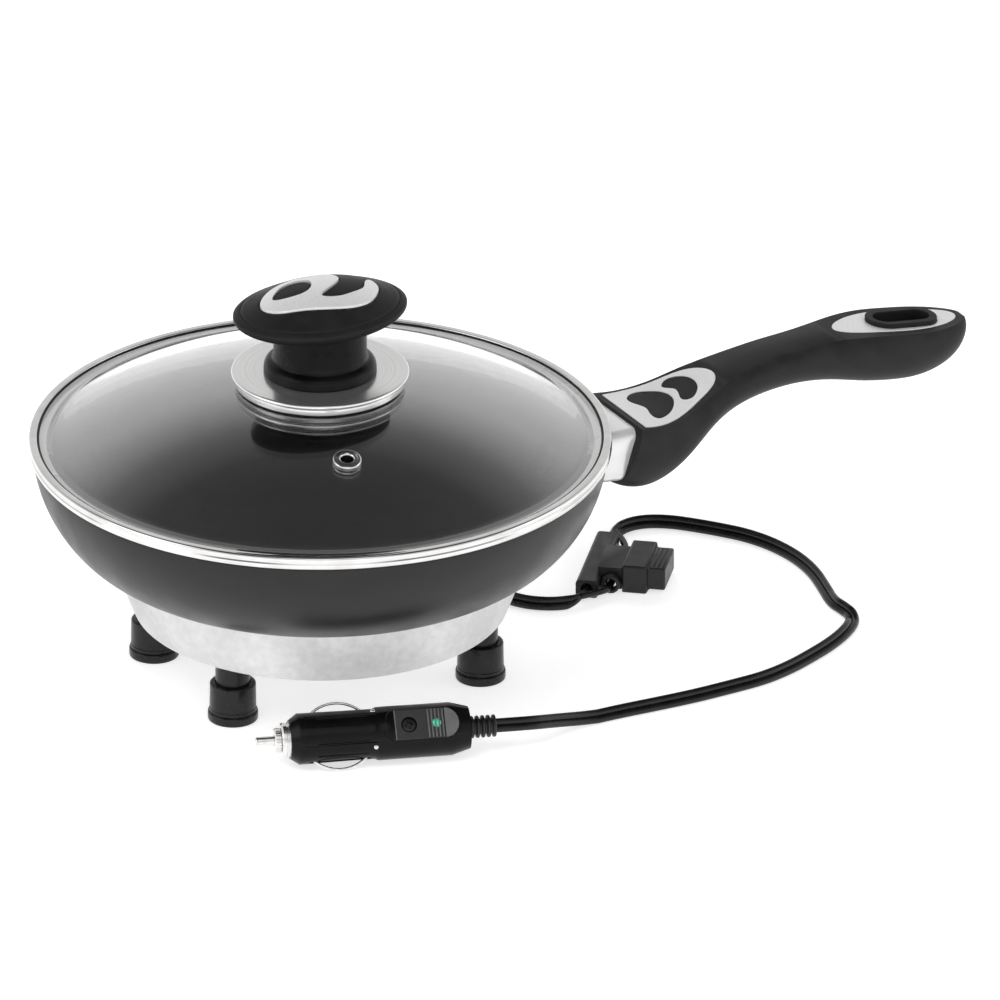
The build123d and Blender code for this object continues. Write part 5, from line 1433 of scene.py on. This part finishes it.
floor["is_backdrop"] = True

# %% [markdown]
# The world answers each kind of light path in its own way: white for the camera,
# a sky that fades from bright to dark for mirrors, pale behind glass and dim for
# soft light. Three round glows stand in for lamps in the mirrored sky.

# %% The surroundings
world = bpy.data.worlds.new("studio")
scene.world = world
tree = emptied(world)
rays = add(tree, "ShaderNodeLightPath").outputs
direction = add(tree, "ShaderNodeTexCoord").outputs["Generated"]
upwards = add(tree, "ShaderNodeSeparateXYZ", Vector=direction).outputs["Z"]


def background(colour, strength=1.0):
    return add(tree, "ShaderNodeBackground", Color=colour, Strength=strength).outputs["Background"]


def glow_towards(before, aim, inner, outer, strength):
    """Adds a round soft light to the mirrored surroundings; angles in degrees."""
    dot = tree.nodes.new("ShaderNodeVectorMath")
    dot.operation = "DOT_PRODUCT"
    dot.inputs[1].default_value = Vector(aim).normalized()
    tree.links.new(direction, dot.inputs[0])
    edge = add(tree, "ShaderNodeMapRange", From_Min=cos(radians(outer)),
               From_Max=cos(radians(inner)), To_Max=strength, Value=dot.outputs["Value"])
    edge.interpolation_type = "SMOOTHSTEP"
    return wired(tree, "ShaderNodeVectorMath", before, edge.outputs["Result"]).outputs["Vector"]


def at_most_one(count):
    """1 when a path has met at least one such surface."""
    return maths(tree, "MINIMUM", count, 1.0)


sky = ((0.0, 1.0), (0.10, 0.94), (0.30, 0.80), (0.45, 0.72), (0.56, 0.52), (0.68, 0.24),
       (0.80, 0.10), (1.0, 0.04))
mirrored = ramp(tree, upwards, [grey(value) for _, value in sky], [stop for stop, _ in sky])
mirrored = glow_towards(mirrored, (-0.85, 0.20, 0.50), 10, 26, 1.2)
mirrored = glow_towards(mirrored, (-0.25, -0.55, 0.80), 6, 24, 0.9)
mirrored = glow_towards(mirrored, (0.85, -0.45, 0.30), 6, 20, 0.9)
white = background((1, 1, 1, 1))
mirror = background(mirrored)
behind_glass = either(tree, at_most_one(rays["Glossy Depth"]), background((*grey(0.82), 1)),
                      mirror)
behind_glass = either(tree, at_most_one(rays["Diffuse Depth"]), behind_glass,
                      background((0, 0, 0, 1), 0.0))
around = either(tree, rays["Is Glossy Ray"], background((1, 1, 1, 1), 0.50), mirror)
around = either(tree, rays["Is Transmission Ray"], around, behind_glass)
around = either(tree, rays["Is Camera Ray"], around, white)
add(tree, "ShaderNodeOutputWorld", Surface=around)

# %% [markdown]
# The panels stand to the left, behind, to the right and low in front. Mirrors
# and glass don't see them, so that they leave no hard shapes on the lid.

# %% The lamps
middle = Vector((0.06, 0.0, 0.06))
for name, place, size, power in (("key", (-0.9, -0.5, 1.5), (0.9, 0.7), 9.0),
                                 ("back", (0.5, 1.4, 1.2), (1.4, 0.5), 8.0),
                                 ("side", (1.3, -0.9, 0.7), (0.5, 0.8), 3.5),
                                 ("front", (-0.75, -1.40, 0.35), (1.2, 0.5), 11.0)):
    panel = put(name, bpy.data.lights.new(name, "AREA"))
    panel.data.shape = "RECTANGLE"
    panel.data.size, panel.data.size_y = size
    panel.data.energy = power
    panel.location = place
    panel.visible_glossy = False
    panel.visible_transmission = False
    panel.rotation_euler = (middle - Vector(place)).to_track_quat("-Z", "Y").to_euler()
print("lights placed")

# %% [markdown]
# ## Keep the sizes and finish
# The box of the finished model is written beside that of the solids, to show
# that the looks have not changed the object's dimensions.

# %% Sizes
low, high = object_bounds()
for label, corner in (("cad low", cad_low), ("low", low), ("cad high", cad_high),
                      ("high", high)):
    print(label, [round(c / mm, 1) for c in corner])
